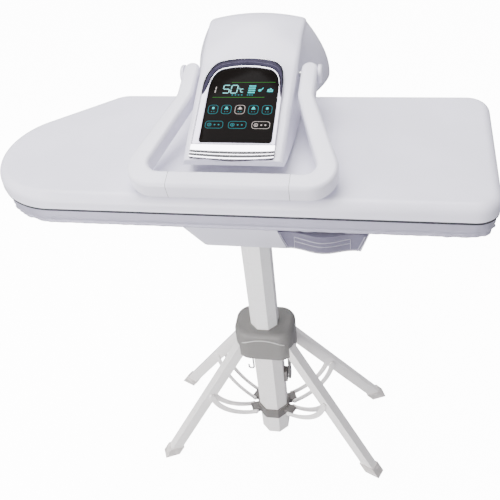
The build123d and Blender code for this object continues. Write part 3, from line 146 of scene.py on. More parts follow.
class Shade:
    """One material while it is being wired, with its Principled shader."""

    def __init__(self, name: str) -> None:
        """Start a material.

        Args:
            name: The material's name, in a maker's plain words.
        """
        self.material = bpy.data.materials.new(name)
        self.material.use_nodes = True
        self.tree = self.material.node_tree
        self.shader = self.tree.nodes["Principled BSDF"]

    def node(
        self,
        kind: str,
        settings: dict[str, object] | None = None,
        inputs: dict[int | str, object] | None = None,
        output: int | str = 0,
    ) -> Field:
        """Add any node, set it up and connect it.

        Args:
            kind: The node's type.
            settings: The node's own properties, set before its sockets.
            inputs: Values or fields by the socket's number or name.
            output: The output that is handed back.

        Returns:
            The chosen output as a field.
        """
        made = self.tree.nodes.new(kind)
        for key, value in (settings or {}).items():
            setattr(made, key, value)
        for key, value in (inputs or {}).items():
            self.feed(made.inputs[key], value)
        return Field(self, made.outputs[output])

    def feed(self, socket: bpy.types.NodeSocket, value: object) -> None:
        """Link a field to a socket, or set the socket's own value.

        Args:
            socket: The input.
            value: A field, a number, a vector or a colour.
        """
        if isinstance(value, Field):
            self.tree.links.new(value.socket, socket)
        elif isinstance(value, tuple) and socket.type == "RGBA":
            socket.default_value = (*value[:3], 1.0)
        else:
            socket.default_value = value

    def set(self, **values: object) -> None:
        """Feed sockets of the Principled shader, named with underscores for spaces."""
        for key, value in values.items():
            self.feed(self.shader.inputs[key.replace("_", " ")], value)

    def place(self, stretch: Sequence[float] = (1, 1, 1)) -> Field:
        """Object coordinates in metres, stretched by factors along X, Y and Z."""
        plain = self.node("ShaderNodeTexCoord", output="Object")
        return self.node("ShaderNodeMapping", {}, {"Vector": plain, "Scale": tuple(stretch)})

    def noise(self, grain: float, where: Field | None = None, detail: float = 4.0) -> Field:
        """Fractal noise.

        Args:
            grain: The size of one lump, in metres.
            where: The coordinates; Object coordinates unless given.
            detail: The number of octaves.

        Returns:
            The noise, from 0 to 1.
        """
        inputs = {"Vector": where or self.place(), "Scale": 1 / grain, "Detail": detail}
        return self.node("ShaderNodeTexNoise", {}, inputs | {"Roughness": OCTAVE})

    def blend(self, amount: Field | float, first: object, second: object) -> Field:
        """A colour between two colours."""
        inputs = {0: amount, 6: first, 7: second}
        return self.node("ShaderNodeMix", {"data_type": "RGBA"}, inputs, 2)

    def relief(self, height: Field, depth: float) -> None:
        """Raise the surface by height times depth in metres, as a bump."""
        self.set(Normal=self.node("ShaderNodeBump", {}, {"Height": height, "Distance": depth}))


@dataclass(frozen=True)
class Skin:
    """A finish: its name, in a maker's plain words, and its colour."""

    name: str
    colour: Colour

    def tint(self, factor: float, lift: float = 0.0) -> Colour:
        """The colour times a factor and plus a lift, at most 1."""
        return tuple(min(1.0, c * factor + lift) for c in self.colour)

    def build(self) -> bpy.types.Material:
        """Make the material.

        Returns:
            The material, wired.
        """
        shade = Shade(self.name)
        self.wire(shade)
        return shade.material

    def wire(self, shade: Shade) -> None:
        """Wire the finish; each kind of finish has its own way."""
        raise NotImplementedError(self.name)


@dataclass(frozen=True)
class Plastic(Skin):
    """Moulded plastic: a fine spark-eroded grain, slow shade changes and soft gloss."""

    roughness: float = 0.35
    grain: float = 0.0006
    depth: float = 0.00002
    coat: float = 0.0
    drift: float = 0.04
    drift_size: float = 0.11

    def wire(self, shade: Shade) -> None:
        """Wire the finish.

        Args:
            shade: The material under construction.
        """
        slow = shade.noise(self.drift_size, detail=2.0)
        fine = shade.noise(self.grain, detail=2.0)
        shade.set(
            Base_Color=shade.blend(slow.above(0.35, 0.35), self.tint(1 - self.drift), self.colour),
            Roughness=self.roughness + fine.about(0.12) + slow.about(0.08),
            Coat_Weight=self.coat,
            Coat_Roughness=0.12,
        )
        shade.relief(fine, self.depth)


@dataclass(frozen=True)
class Paint(Skin):
    """Powder coat on metal: orange peel and faint handling marks."""

    roughness: float = 0.4
    peel: float = 0.0022
    depth: float = 0.00006
    mark_size: float = 0.03
    mark_tone: float = 0.93

    def wire(self, shade: Shade) -> None:
        """Wire the finish.

        Args:
            shade: The material under construction.
        """
        peel = shade.noise(self.peel, detail=1.5)
        marks = shade.noise(self.mark_size, shade.place((1, 1, 6)), detail=5.0)
        shade.set(
            Base_Color=shade.blend(marks.above(0.52, 0.2), self.colour, self.tint(self.mark_tone)),
            Roughness=self.roughness + marks.about(0.2),
            Coat_Weight=0.15,
            Coat_Roughness=0.2,
        )
        shade.relief(peel, self.depth)


@dataclass(frozen=True)
class Metal(Skin):
    """Bare metal with a drawn or brushed lay along one axis, and dull patches."""

    roughness: float = 0.28
    lay: tuple[float, float, float] = (1, 1, 30)
    streak: float = 0.004
    depth: float = 0.00001
    contrast: float = 0.12
    patch: float = 0.02

    def wire(self, shade: Shade) -> None:
        """Wire the finish.

        Args:
            shade: The material under construction.
        """
        lines = shade.noise(self.streak, shade.place(self.lay), detail=3.0)
        patches = shade.noise(self.patch, detail=4.0)
        shade.set(
            Base_Color=shade.blend(lines, self.tint(1 - self.contrast), self.colour),
            Metallic=1.0,
            Roughness=self.roughness + lines.about(0.16) + patches.about(0.14),
        )
        shade.relief(lines, self.depth)


@dataclass(frozen=True)
class Chrome(Skin):
    """Bright plating: a mirror with faint wipe marks, clear or satin."""

    roughness: float = 0.05
    wipe: float = 0.012
    depth: float = 0.00002

    def wire(self, shade: Shade) -> None:
        """Wire the finish.

        Args:
            shade: The material under construction.
        """
        wipes = shade.noise(self.wipe, shade.place((1, 6, 6)), detail=5.0)
        shade.set(
            Base_Color=shade.blend(wipes, self.tint(0.9), self.colour),
            Metallic=1.0,
            Roughness=self.roughness + wipes.above(0.55, 0.3) * 0.07,
        )
        shade.relief(wipes, self.depth)


@dataclass(frozen=True)
class Rubber(Skin):
    """Rubber or soft plastic: dull, with a dry bloom and a fine pitted skin."""

    roughness: float = 0.7
    bloom: float = 0.015
    pit: float = 0.0008
    depth: float = 0.00005

    def wire(self, shade: Shade) -> None:
        """Wire the finish.

        Args:
            shade: The material under construction.
        """
        bloom = shade.noise(self.bloom, detail=5.0)
        pits = shade.noise(self.pit, detail=2.0)
        shade.set(
            Base_Color=shade.blend(bloom.above(0.45, 0.3), self.colour, self.tint(1.5, 0.01)),
            Roughness=self.roughness + bloom.about(0.2),
        )
        shade.relief(pits, self.depth)


@dataclass(frozen=True)
class Cloth(Skin):
    """Plain weave on the UV map, in metres: crossed threads, slubs and a faint metal sheen."""

    thread: float = 0.0009
    shine: float = 0.25
    depth: float = 0.00012
    slub: float = 0.02
    wear: float = 0.09

    def wire(self, shade: Shade) -> None:
        """Wire the finish.

        Args:
            shade: The material under construction.
        """
        uv = shade.node("ShaderNodeUVMap", {"uv_map": "cloth"})
        along, over = (shade.node("ShaderNodeSeparateXYZ", {}, {0: uv}, axis) for axis in (0, 1))
        turn = pi / self.thread
        warp, weft = (along * turn).sine(), (over * turn).sine()
        cross = ((along * (turn / 2)).sine() * (over * (turn / 2)).sine()).above(-0.2, 0.4)
        weave = warp.size() * cross + weft.size() * (1 - cross)
        slub = shade.noise(self.slub, uv, detail=5.0)
        wear = shade.noise(self.wear, uv, detail=3.0)
        tone = (weave * 0.5 + slub * 0.35 + wear * 0.25).above(0.2, 0.7)
        shade.set(
            Base_Color=shade.blend(tone, self.tint(0.84), self.colour),
            Roughness=0.62 - weave * 0.12,
            Metallic=self.shine,
            Sheen_Weight=0.3,
            Sheen_Roughness=0.4,
        )
        shade.relief(weave * 0.6 + slub * 0.8, self.depth)


@dataclass(frozen=True)
class Clear(Skin):
    """Smoked clear plastic or glass: see-through, with flow marks and light scuffs."""

    alpha: float = 0.45
    roughness: float = 0.06
    flow: float = 0.03
    scuff: float = 0.006
    depth: float = 0.0004

    def wire(self, shade: Shade) -> None:
        """Wire the finish.

        Args:
            shade: The material under construction.
        """
        flow = shade.noise(self.flow, shade.place((1, 1, 3)), detail=2.0)
        scuff = shade.noise(self.scuff, detail=6.0)
        shade.set(
            Base_Color=shade.blend(flow, self.colour, self.tint(1.12)),
            Roughness=self.roughness + scuff.above(0.6, 0.25) * 0.12,
            Alpha=self.alpha + flow.about(0.12),
            IOR=1.5,
            Coat_Weight=0.6,
            Coat_Roughness=0.04,
        )
        shade.relief(flow, self.depth)


@dataclass(frozen=True)
class Glass(Skin):
    """Black display glass: a deep gloss with faint, slightly warmer finger marks."""

    roughness: float = 0.14
    touch: float = 0.018
    depth: float = 0.00002
    warmth: Colour = (1.5, 1.35, 1.3)

    def wire(self, shade: Shade) -> None:
        """Wire the finish.

        Args:
            shade: The material under construction.
        """
        touch = shade.noise(self.touch, detail=5.0)
        warm = tuple(c * factor for c, factor in zip(self.colour, self.warmth))
        shade.set(
            Base_Color=shade.blend(touch, self.colour, warm),
            Roughness=self.roughness + touch.above(0.55, 0.25) * 0.12,
            Specular_IOR_Level=0.012,
        )
        shade.relief(touch, self.depth)


@dataclass(frozen=True)
class Glow(Skin):
    """A lit mark of the display: its light is a little uneven, as behind a mask."""

    power: float = 1.6
    spread: float = 0.004

    def wire(self, shade: Shade) -> None:
        """Wire the finish.

        Args:
            shade: The material under construction.
        """
        spread = shade.noise(self.spread, detail=2.0)
        shade.set(
            Base_Color=(0.01, 0.01, 0.01),
            Roughness=0.3,
            Specular_IOR_Level=0.03,
            Emission_Color=shade.blend(spread.above(0.35, 0.3), self.tint(0.72), self.colour),
            Emission_Strength=self.power,
        )


class Finish(Enum):
    """Every finish of the press, by what it is used for."""

    PLATE = Plastic("plate_white", (0.80, 0.785, 0.89), 0.36, coat=0.08)
    # Near-black, used only for the band under the plate: a painted shadow gap.
    SEAM = Rubber("shadow_gap_black", (0.014, 0.013, 0.018), 0.7)
    JOINT = Rubber("joint_grey", (0.18, 0.18, 0.19), 0.6)
    GROOVE = Plastic("groove_grey", (0.024, 0.023, 0.028), 0.6)
    HEAD = Plastic("head_plastic", (0.745, 0.73, 0.835), 0.30, coat=0.2)
    CASE = Plastic("case_plastic", (0.56, 0.55, 0.63), 0.38)
    BOW = Plastic("bow_white", (0.81, 0.795, 0.89), 0.33, coat=0.15)
    GRIP = Plastic("grip_white", (0.80, 0.785, 0.88), 0.42, grain=0.0009, depth=0.00005)
    GUIDE = Plastic("guide_nylon", (0.70, 0.69, 0.66), 0.5)
    HUB = Plastic("hub_plastic", (0.205, 0.198, 0.190), 0.5, grain=0.0011, depth=0.00007)
    ARCH = Plastic("arch_grey", (0.60, 0.59, 0.58), 0.4)
    BRACKET = Plastic("collar_grey", (0.165, 0.154, 0.148), 0.5, grain=0.0011, depth=0.00007)
    TUBE = Paint("stand_ivory", (0.97, 0.94, 0.925))
    TUBE_INNER = Paint("column_ivory", (0.97, 0.96, 0.95), 0.35)
    PAN = Paint("board_pan_white", (0.66, 0.66, 0.69), 0.45)
    SOLE = Metal("sole_aluminium", (0.78, 0.78, 0.80), 0.3, lay=(40, 1, 1))
    STEEL = Metal("zinc_steel", (0.58, 0.58, 0.60), 0.34, lay=(6, 6, 1), streak=0.012)
    PIN = Metal("turned_steel", (0.66, 0.66, 0.67), 0.25, lay=(1, 20, 20))
    SPRING = Metal("spring_steel", (0.36, 0.36, 0.38), 0.3)
    BRASS = Metal("turned_brass", (0.72, 0.55, 0.26), 0.28, lay=(1, 30, 1))
    LINE = Chrome("polished_line", (0.88, 0.875, 0.92), 0.16, 0.03)
    SMOKED = Metal("smoked_chrome", (0.017, 0.015, 0.026), 0.2, (2, 26, 26), 0.05, contrast=0.95)
    # Lighter than the smoked chrome, only for two strips in the arch: painted reflections.
    GLINT = Metal("painted_glint_chrome", (0.075, 0.068, 0.105), 0.3, (2, 26, 26), 0.05, contrast=0.9)
    SILVER = Chrome("satin_silver", (0.38, 0.365, 0.43), 0.30, 0.03)
    # Lighter and less clear than the tank, for its ribs and edge lines: painted highlights.
    RIB_HIGHLIGHT = Clear("clear_rib_highlight", (0.36, 0.345, 0.43), 0.9)
    BLACK = Rubber("pad_rubber", (0.055, 0.052, 0.050))
    BOOT = Rubber("boot_rubber", (0.60, 0.565, 0.55), 0.6)
    CRANK = Rubber("knob_grey", (0.10, 0.097, 0.095), 0.45)
    HOSE = Rubber("silicone_hose", (0.66, 0.64, 0.60), 0.4)
    COVER = Cloth("board_cloth", (0.42, 0.405, 0.51))
    FELT = Cloth("pad_felt", (0.72, 0.69, 0.62), thread=0.003, shine=0.0, depth=0.0004)
    TANK = Clear("smoked_tank", (0.175, 0.163, 0.235), 0.8)
    GLASS = Glass("display_glass", (0.0034, 0.0029, 0.0027))
    CIRCUIT = Plastic("circuit_green", (0.03, 0.14, 0.07), 0.3)
    TEAL = Glow("teal_light", (0.0, 0.50, 0.58), 0.85)
    AQUA = Glow("aqua_light", (0.0, 0.88, 0.92), 1.4)
    PALE = Glow("pale_light", (0.30, 1.00, 1.00), 1.8)
    WARM = Glow("white_light", (0.95, 0.84, 0.80), 1.3)
    GREEN = Glow("green_light", (0.02, 0.45, 0.0), 0.75)

    @property
    def material(self) -> bpy.types.Material:
        """The material, wired the first time that it is asked for."""
        return bpy.data.materials.get(self.value.name) or self.value.build()


# Meshes


@dataclass(frozen=True)
class Deck:
    """The press's own plane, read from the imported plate."""

    setback: float
    level: float

    @classmethod
    def from_frame(cls) -> "Deck":
        """Find the plane from the plate's cover: its middle in Y and its top."""
        low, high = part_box("shoe_cover")
        return cls(-500 * (low.y + high.y), 1000 * high.z)

    def world(self, points: np.ndarray) -> np.ndarray:
        """Millimetres on the deck as metres in the row's frame.

        Args:
            points: An array whose last axis is x, y and z.

        Returns:
            The same points, moved back by the setback, up by the level, and divided by 1000.
        """
        return (np.asarray(points, float) + (0.0, -self.setback, self.level)) / 1000


DECK = Deck.from_frame()


@contextmanager
def opened(mesh: bpy.types.Mesh) -> Iterator[bmesh.types.BMesh]:
    """Open a mesh for editing and write it back at the end.

    Args:
        mesh: The mesh.

    Yields:
        The same mesh, open.
    """
    work = bmesh.new()
    work.from_mesh(mesh)
    yield work
    work.to_mesh(mesh)
    work.free()


def finished(
    mesh: bpy.types.Mesh,
    finish: Finish,
    body: str,
    nodes: Iterable[str] = (),
    sharp: float = 35.0,
) -> bpy.types.Object:
    """Make a piece of a mesh: smooth, in its finish, on its body and in its nodes' place.

    Args:
        mesh: The mesh, placed in the row's frame; the piece has its name.
        finish: The finish.
        body: The body that the piece rides on.
        nodes: The CAD nodes that it stands for.
        sharp: The angle, in degrees, from which an edge stays sharp.

    Returns:
        The piece's object.
    """
    mesh.shade_smooth()
    mesh.set_sharp_from_angle(angle=radians(sharp))
    mesh.materials.append(finish.material)
    piece = bpy.data.objects.new(mesh.name, mesh)
    bpy.context.scene.collection.objects.link(piece)
    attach(piece, body)
    if nodes:
        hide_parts(*nodes)
    LOG.info("%s: %d faces on %s", piece.name, len(mesh.polygons), body)
    return piece


class Grid(Enum):
    """How a grid closes: last row to first, last column to first, and a face on each end row."""

    SOLID = (False, True, True)
    RING = (True, True, False)
    SLEEVE = (False, True, False)
    SHELL = (False, False, True)


def grid_mesh(
    name: str, points: np.ndarray, grid: Grid = Grid.SOLID, uv: np.ndarray | None = None
) -> bpy.types.Mesh:
    """A mesh from a grid of points in the row's frame, its faces turned outwards.

    Args:
        name: The mesh's name.
        points: Points in metres, as rows by columns by 3. Point (i, j) has the number
            i * columns + j, and its quad reaches to row i + 1 and column j + 1.
        grid: How the grid closes.
        uv: The cloth's flat coordinates in metres, as rows by columns by 2.

    Returns:
        The mesh, with doubled points merged.
    """
    rows, columns = points.shape[:2]
    closed_rows, closed_columns, ends = grid.value
    i = np.arange(rows if closed_rows else rows - 1)[:, None]
    j = np.arange(columns if closed_columns else columns - 1)[None, :]
    right, down = (j + 1) % columns, (i + 1) % rows
    quads = joined(i * columns + j, i * columns + right, down * columns + right, down * columns + j)
    faces = quads.reshape(-1, 4).tolist()
    if ends:
        faces += [list(range(columns)), list(range((rows - 1) * columns, rows * columns))]
    mesh = bpy.data.meshes.new(name)
    mesh.from_pydata(points.reshape(-1, 3), [], faces)
    if uv is not None:
        layer = mesh.uv_layers.new(name="cloth")
        corners = np.zeros(len(mesh.loops), int)
        mesh.loops.foreach_get("vertex_index", corners)
        layer.data.foreach_set("uv", uv.reshape(-1, 2)[corners].ravel())
    with opened(mesh) as work:
        bmesh.ops.remove_doubles(work, verts=work.verts, dist=MERGE)
        bmesh.ops.recalc_face_normals(work, faces=work.faces)
    return mesh


def grid_piece(
    name: str,
    points: np.ndarray,
    finish: Finish,
    body: str,
    nodes: Iterable[str] = (),
    sharp: float = 35.0,
    grid: Grid = Grid.SOLID,
) -> None:
    """Make a piece straight from a grid of points in the row's frame.

    Args:
        name: The piece's name.
        points: Points in metres, as rows by columns by 3.
        finish: The finish.
        body: The body that the piece rides on.
        nodes: The CAD nodes that it stands for.
        sharp: The angle, in degrees, from which an edge stays sharp.
        grid: How the grid closes.
    """
    finished(grid_mesh(name, points, grid), finish, body, nodes, sharp)


def refined(node: str, finish: Finish, edge: float = 0.0, sharp: float = 32.0) -> None:
    """A copy of a CAD node with joined faces and small rounded edges, in the node's place.

    Args:
        node: The CAD node; the piece's name is the node's with _finished.
        finish: The finish.
        edge: The width of the rounded edges, in metres; 0 leaves them.
        sharp: The angle, in degrees, from which an edge is rounded.
    """
    source = frame["nodes"][node]
    mesh = source.data.copy()
    mesh.name = f"{node}_finished"
    mesh.materials.clear()
    with opened(mesh) as work:
        bmesh.ops.remove_doubles(work, verts=work.verts, dist=2 * MERGE)
        bmesh.ops.dissolve_limit(
            work, angle_limit=FLAT, verts=work.verts, edges=work.edges, delimit=set()
        )
    mesh.polygons.foreach_set("material_index", np.zeros(len(mesh.polygons), int))
    piece = finished(mesh, finish, source["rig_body"], [node], sharp)
    if edge > 0:
        bevel = piece.modifiers.new("edges", "BEVEL")
        bevel.width = edge
        bevel.segments = 2
        bevel.limit_method = "ANGLE"
        bevel.angle_limit = radians(sharp)
        bevel.harden_normals = True


# Shapes


def joined(*axes: np.ndarray | float) -> np.ndarray:
    """Numbers or arrays, spread over each other and joined along a new last axis."""
    return np.stack(np.broadcast_arrays(*axes), -1)


def unit(angle: np.ndarray) -> np.ndarray:
    """Points (cos(a), sin(a)) on the unit circle."""
    return joined(np.cos(angle), np.sin(angle))


def at_level(flat: np.ndarray, level: float) -> np.ndarray:
    """A row of flat points with one level as their third coordinate."""
    return np.column_stack([flat, np.full(len(flat), level)])


def smooth_step(x: np.ndarray, low: float, high: float) -> np.ndarray:
    """0 below low, 1 above high and 3t^2 - 2t^3 between, with t running from 0 to 1."""
    t = np.clip((x - low) / (high - low), 0, 1)
    return t * t * (3 - 2 * t)


def through(first: np.ndarray, middle: np.ndarray, last: np.ndarray, count: int) -> np.ndarray:
    """The parabola through three points: (2t - 1)(t - 1)A + 4t(1 - t)B + t(2t - 1)C.

    Args:
        first: The start, or an array of starts, with x and z last.
        middle: The point halfway.
        last: The end.
        count: The number of points on the way.

    Returns:
        The points, with the way as the axis before the last.
    """
    t = np.linspace(0, 1, count)[:, None]
    first, middle, last = (np.asarray(p, float)[..., None, :] for p in (first, middle, last))
    return (2 * t - 1) * (t - 1) * first + 4 * t * (1 - t) * middle + t * (2 * t - 1) * last


def smooth_curve(at: np.ndarray, knots: Sequence[float], values: Sequence[float]) -> np.ndarray:
    """A natural cubic spline: second derivatives from a tridiagonal system, then the cubics.

    Args:
        at: Where the curve is wanted.
        knots: Rising places of the given values.
        values: The values there.

    Returns:
        The curve's values.
    """
    x, y = np.asarray(knots, float), np.asarray(values, float)
    step = np.diff(x)
    system, right = np.eye(len(x)), np.zeros(len(x))
    inner = np.arange(1, len(x) - 1)
    system[inner, inner - 1] = step[:-1]
    system[inner, inner] = 2 * (step[:-1] + step[1:])
    system[inner, inner + 1] = step[1:]
    right[1:-1] = 6 * (np.diff(y[1:]) / step[1:] - np.diff(y[:-1]) / step[:-1])
    bend = np.linalg.solve(system, right)
    i = np.clip(np.searchsorted(x, at) - 1, 0, len(step) - 1)
    a, b, h = x[i + 1] - at, at - x[i], step[i]
    return (
        (bend[i] * a**3 + bend[i + 1] * b**3) / (6 * h)
        + (y[i] / h - bend[i] * h / 6) * a
        + (y[i + 1] / h - bend[i + 1] * h / 6) * b
    )


def swept_tube(path: np.ndarray, radius: float, sides: int = 12) -> np.ndarray:
    """Circles of a radius square to a path, as a grid of rows along it and columns round it.

    Args:
        path: The points that the tube follows.
        radius: Its radius, in the path's unit.
        sides: The number of points round it.

    Returns:
        Centre + radius * (cos(a) * N + sin(a) * B), with N and B square to the path.
    """
    along = np.gradient(path, axis=0)
    along /= np.linalg.norm(along, axis=1, keepdims=True)
    seed = np.where(np.abs(along[:, :1]) < 0.9, [[1.0, 0, 0]], [[0, 1.0, 0]])
    side = np.cross(along, seed)
    side /= np.linalg.norm(side, axis=1, keepdims=True)
    over = np.cross(along, side)
    angle = np.linspace(0, 2 * pi, sides, endpoint=False)[None, :, None]
    return path[:, None] + radius * (np.cos(angle) * side[:, None] + np.sin(angle) * over[:, None])


def turned(profile: Pairs, sides: int = 48) -> np.ndarray:
    """A profile of (distance along, radius) turned about X, as rows along and columns round.

    Args:
        profile: The points from one end to the other.
        sides: The number of points round.

    Returns:
        The points (along, radius * cos(a), radius * sin(a)).
    """
    along, radius = np.asarray(profile, float).T
    angle = np.linspace(0, 2 * pi, sides, endpoint=False)[None]
    y, z = radius[:, None] * np.cos(angle), radius[:, None] * np.sin(angle)
    return joined(along[:, None], y, z)


@dataclass(frozen=True)
class BoardShape:
    """The board's outline from above: a round nose, a straight taper and two square corners."""

    length: float = 1010.0
    depth: float = 380.0
    nose: float = 150.0
    taper: float = radians(38.0)
    blend: float = 60.0
    corner: float = 48.0
    arc_points: tuple[int, ...] = (120, 24, 28, 28)
    side_points: tuple[int, ...] = (24, 60, 24, 90)

    def outline(self, inset: float) -> np.ndarray:
        """The outline drawn in by inset, with the same number of points for any inset.

        Args:
            inset: How far inside the outline the ring lies, in millimetres.

        Returns:
            Points x, y in order: each corner is an arc about a fixed centre, of the corner's radius
            less the inset.
        """
        half_l, half_d = self.length / 2, self.depth / 2
        rise, run = cos(self.taper), sin(self.taper)
        nose = np.array([self.nose - half_l, self.nose - half_d])
        reach = rise * nose[1] - run * nose[0] + self.nose
        y = half_d - self.blend
        turn = pi / 2 + self.taper
        arcs = (
            (nose, self.nose, -pi / 2, turn - 3 * pi / 2),
            (((rise * y + self.blend - reach) / run, y), self.blend, turn, -self.taper),
            ((half_l - self.corner, half_d - self.corner), self.corner, pi / 2, -pi / 2),
            ((half_l - self.corner, self.corner - half_d), self.corner, 0.0, -pi / 2),
        )
        rings = [
            centre + (radius - inset) * unit(start + np.linspace(0, 1, count) * sweep)
            for (centre, radius, start, sweep), count in zip(arcs, self.arc_points)
        ]
        ring = []
        for arc, following, steps in zip(rings, rings[1:] + rings[:1], self.side_points):
            t = np.linspace(0, 1, steps, endpoint=False)[1:, None]
            ring += [arc, arc[-1] + (following[0] - arc[-1]) * t]
        return np.concatenate(ring)

    def rings(self, profile: Pairs) -> np.ndarray:
        """Rings of the outline at each (inset, level) of a profile, as profile by outline by 3."""
        return np.stack([at_level(self.outline(inset), level) for inset, level in profile])


BOARD = BoardShape()


def rounding(inset: float, level: float, radius: float, steps: int) -> list[tuple[float, float]]:
    """A quarter circle from an upright side to a flat top.

    Args:
        inset: The inset of the upright side.
        level: The level of the flat top.
        radius: The radius.
        steps: The number of steps.

    Returns:
        Points (inset + radius * (1 - cos(a)), level - radius * (1 - sin(a))).
    """
    return [
        (inset + radius * (1 - cos(a)), level - radius * (1 - sin(a)))
        for a in np.linspace(0, pi / 2, steps + 1)
    ]


# The press


@dataclass
class UpperPlate:
    """The heated plate: white cover, soleplate and what lies between them."""

    height: float = 35.0
    edge: float = 20.0
    edge_steps: int = 16
    edge_gap: float = 1.0
    wall: float = 3.0
    lip: float = 0.8
    reach: float = 44.0
    bead: float = 0.5
    bead_height: float = 4.0
    bead_shape: Pairs = (
        (0.05, -0.7), (0.1, 0.0), (0.25, 0.8), (0.4, 1.0), (0.6, 0.75), (0.8, 0.25), (1.0, 0.0),
    )
    side_rows: tuple[float, ...] = (0.4, 0.7, 0.97)
    # The band sized by these three is near-black, under the cover's edge: a painted shadow for the
    # gap between plate and board.
    shadow_band: float = 4.95
    shadow_band_inset: float = 0.5
    shadow_band_overlap: float = 0.3

    def build(self) -> None:
        """Make the cover's shell, a near-black band under it that paints the shadow gap, and dress
        the plate's other nodes.
        """
        low, side = -self.height, self.height - self.edge - self.edge_gap
        outer = [(self.wall, low), (self.lip, low)]
        outer += [(-self.bead * out, low + self.bead_height * t) for t, out in self.bead_shape]
        outer += [(0.0, low + t * side) for t in self.side_rows]
        outer += rounding(0.0, 0.0, self.edge, self.edge_steps)
        outer += [((self.edge + self.reach) / 2, 0.0), (self.reach, 0.0)]
        inner = rounding(self.wall, -self.wall, self.edge - self.wall, self.edge_steps // 2)
        shell = DECK.world(BOARD.rings([(self.reach, -self.wall), *reversed(inner), *outer]))
        grid_piece("plate_cover", shell, Finish.PLATE, "press", ["shoe_cover"])
        # A near-black band under the cover's edge: painted shadow for the gap between plate and
        # board.
        top, base = low + self.shadow_band_overlap, low - self.shadow_band
        face, wall = self.shadow_band_inset, self.wall
        shadow_band = DECK.world(BOARD.rings([(face, top), (face, base), (wall, base), (wall, top)]))
        grid_piece("plate_shadow_band", shadow_band, Finish.SEAM, "press", grid=Grid.RING)
        refined("soleplate", Finish.SOLE, sharp=25)
        refined("heating_element", Finish.STEEL)
        refined("heat_shield", Finish.STEEL)
        refined("steam_inlet", Finish.BRASS)


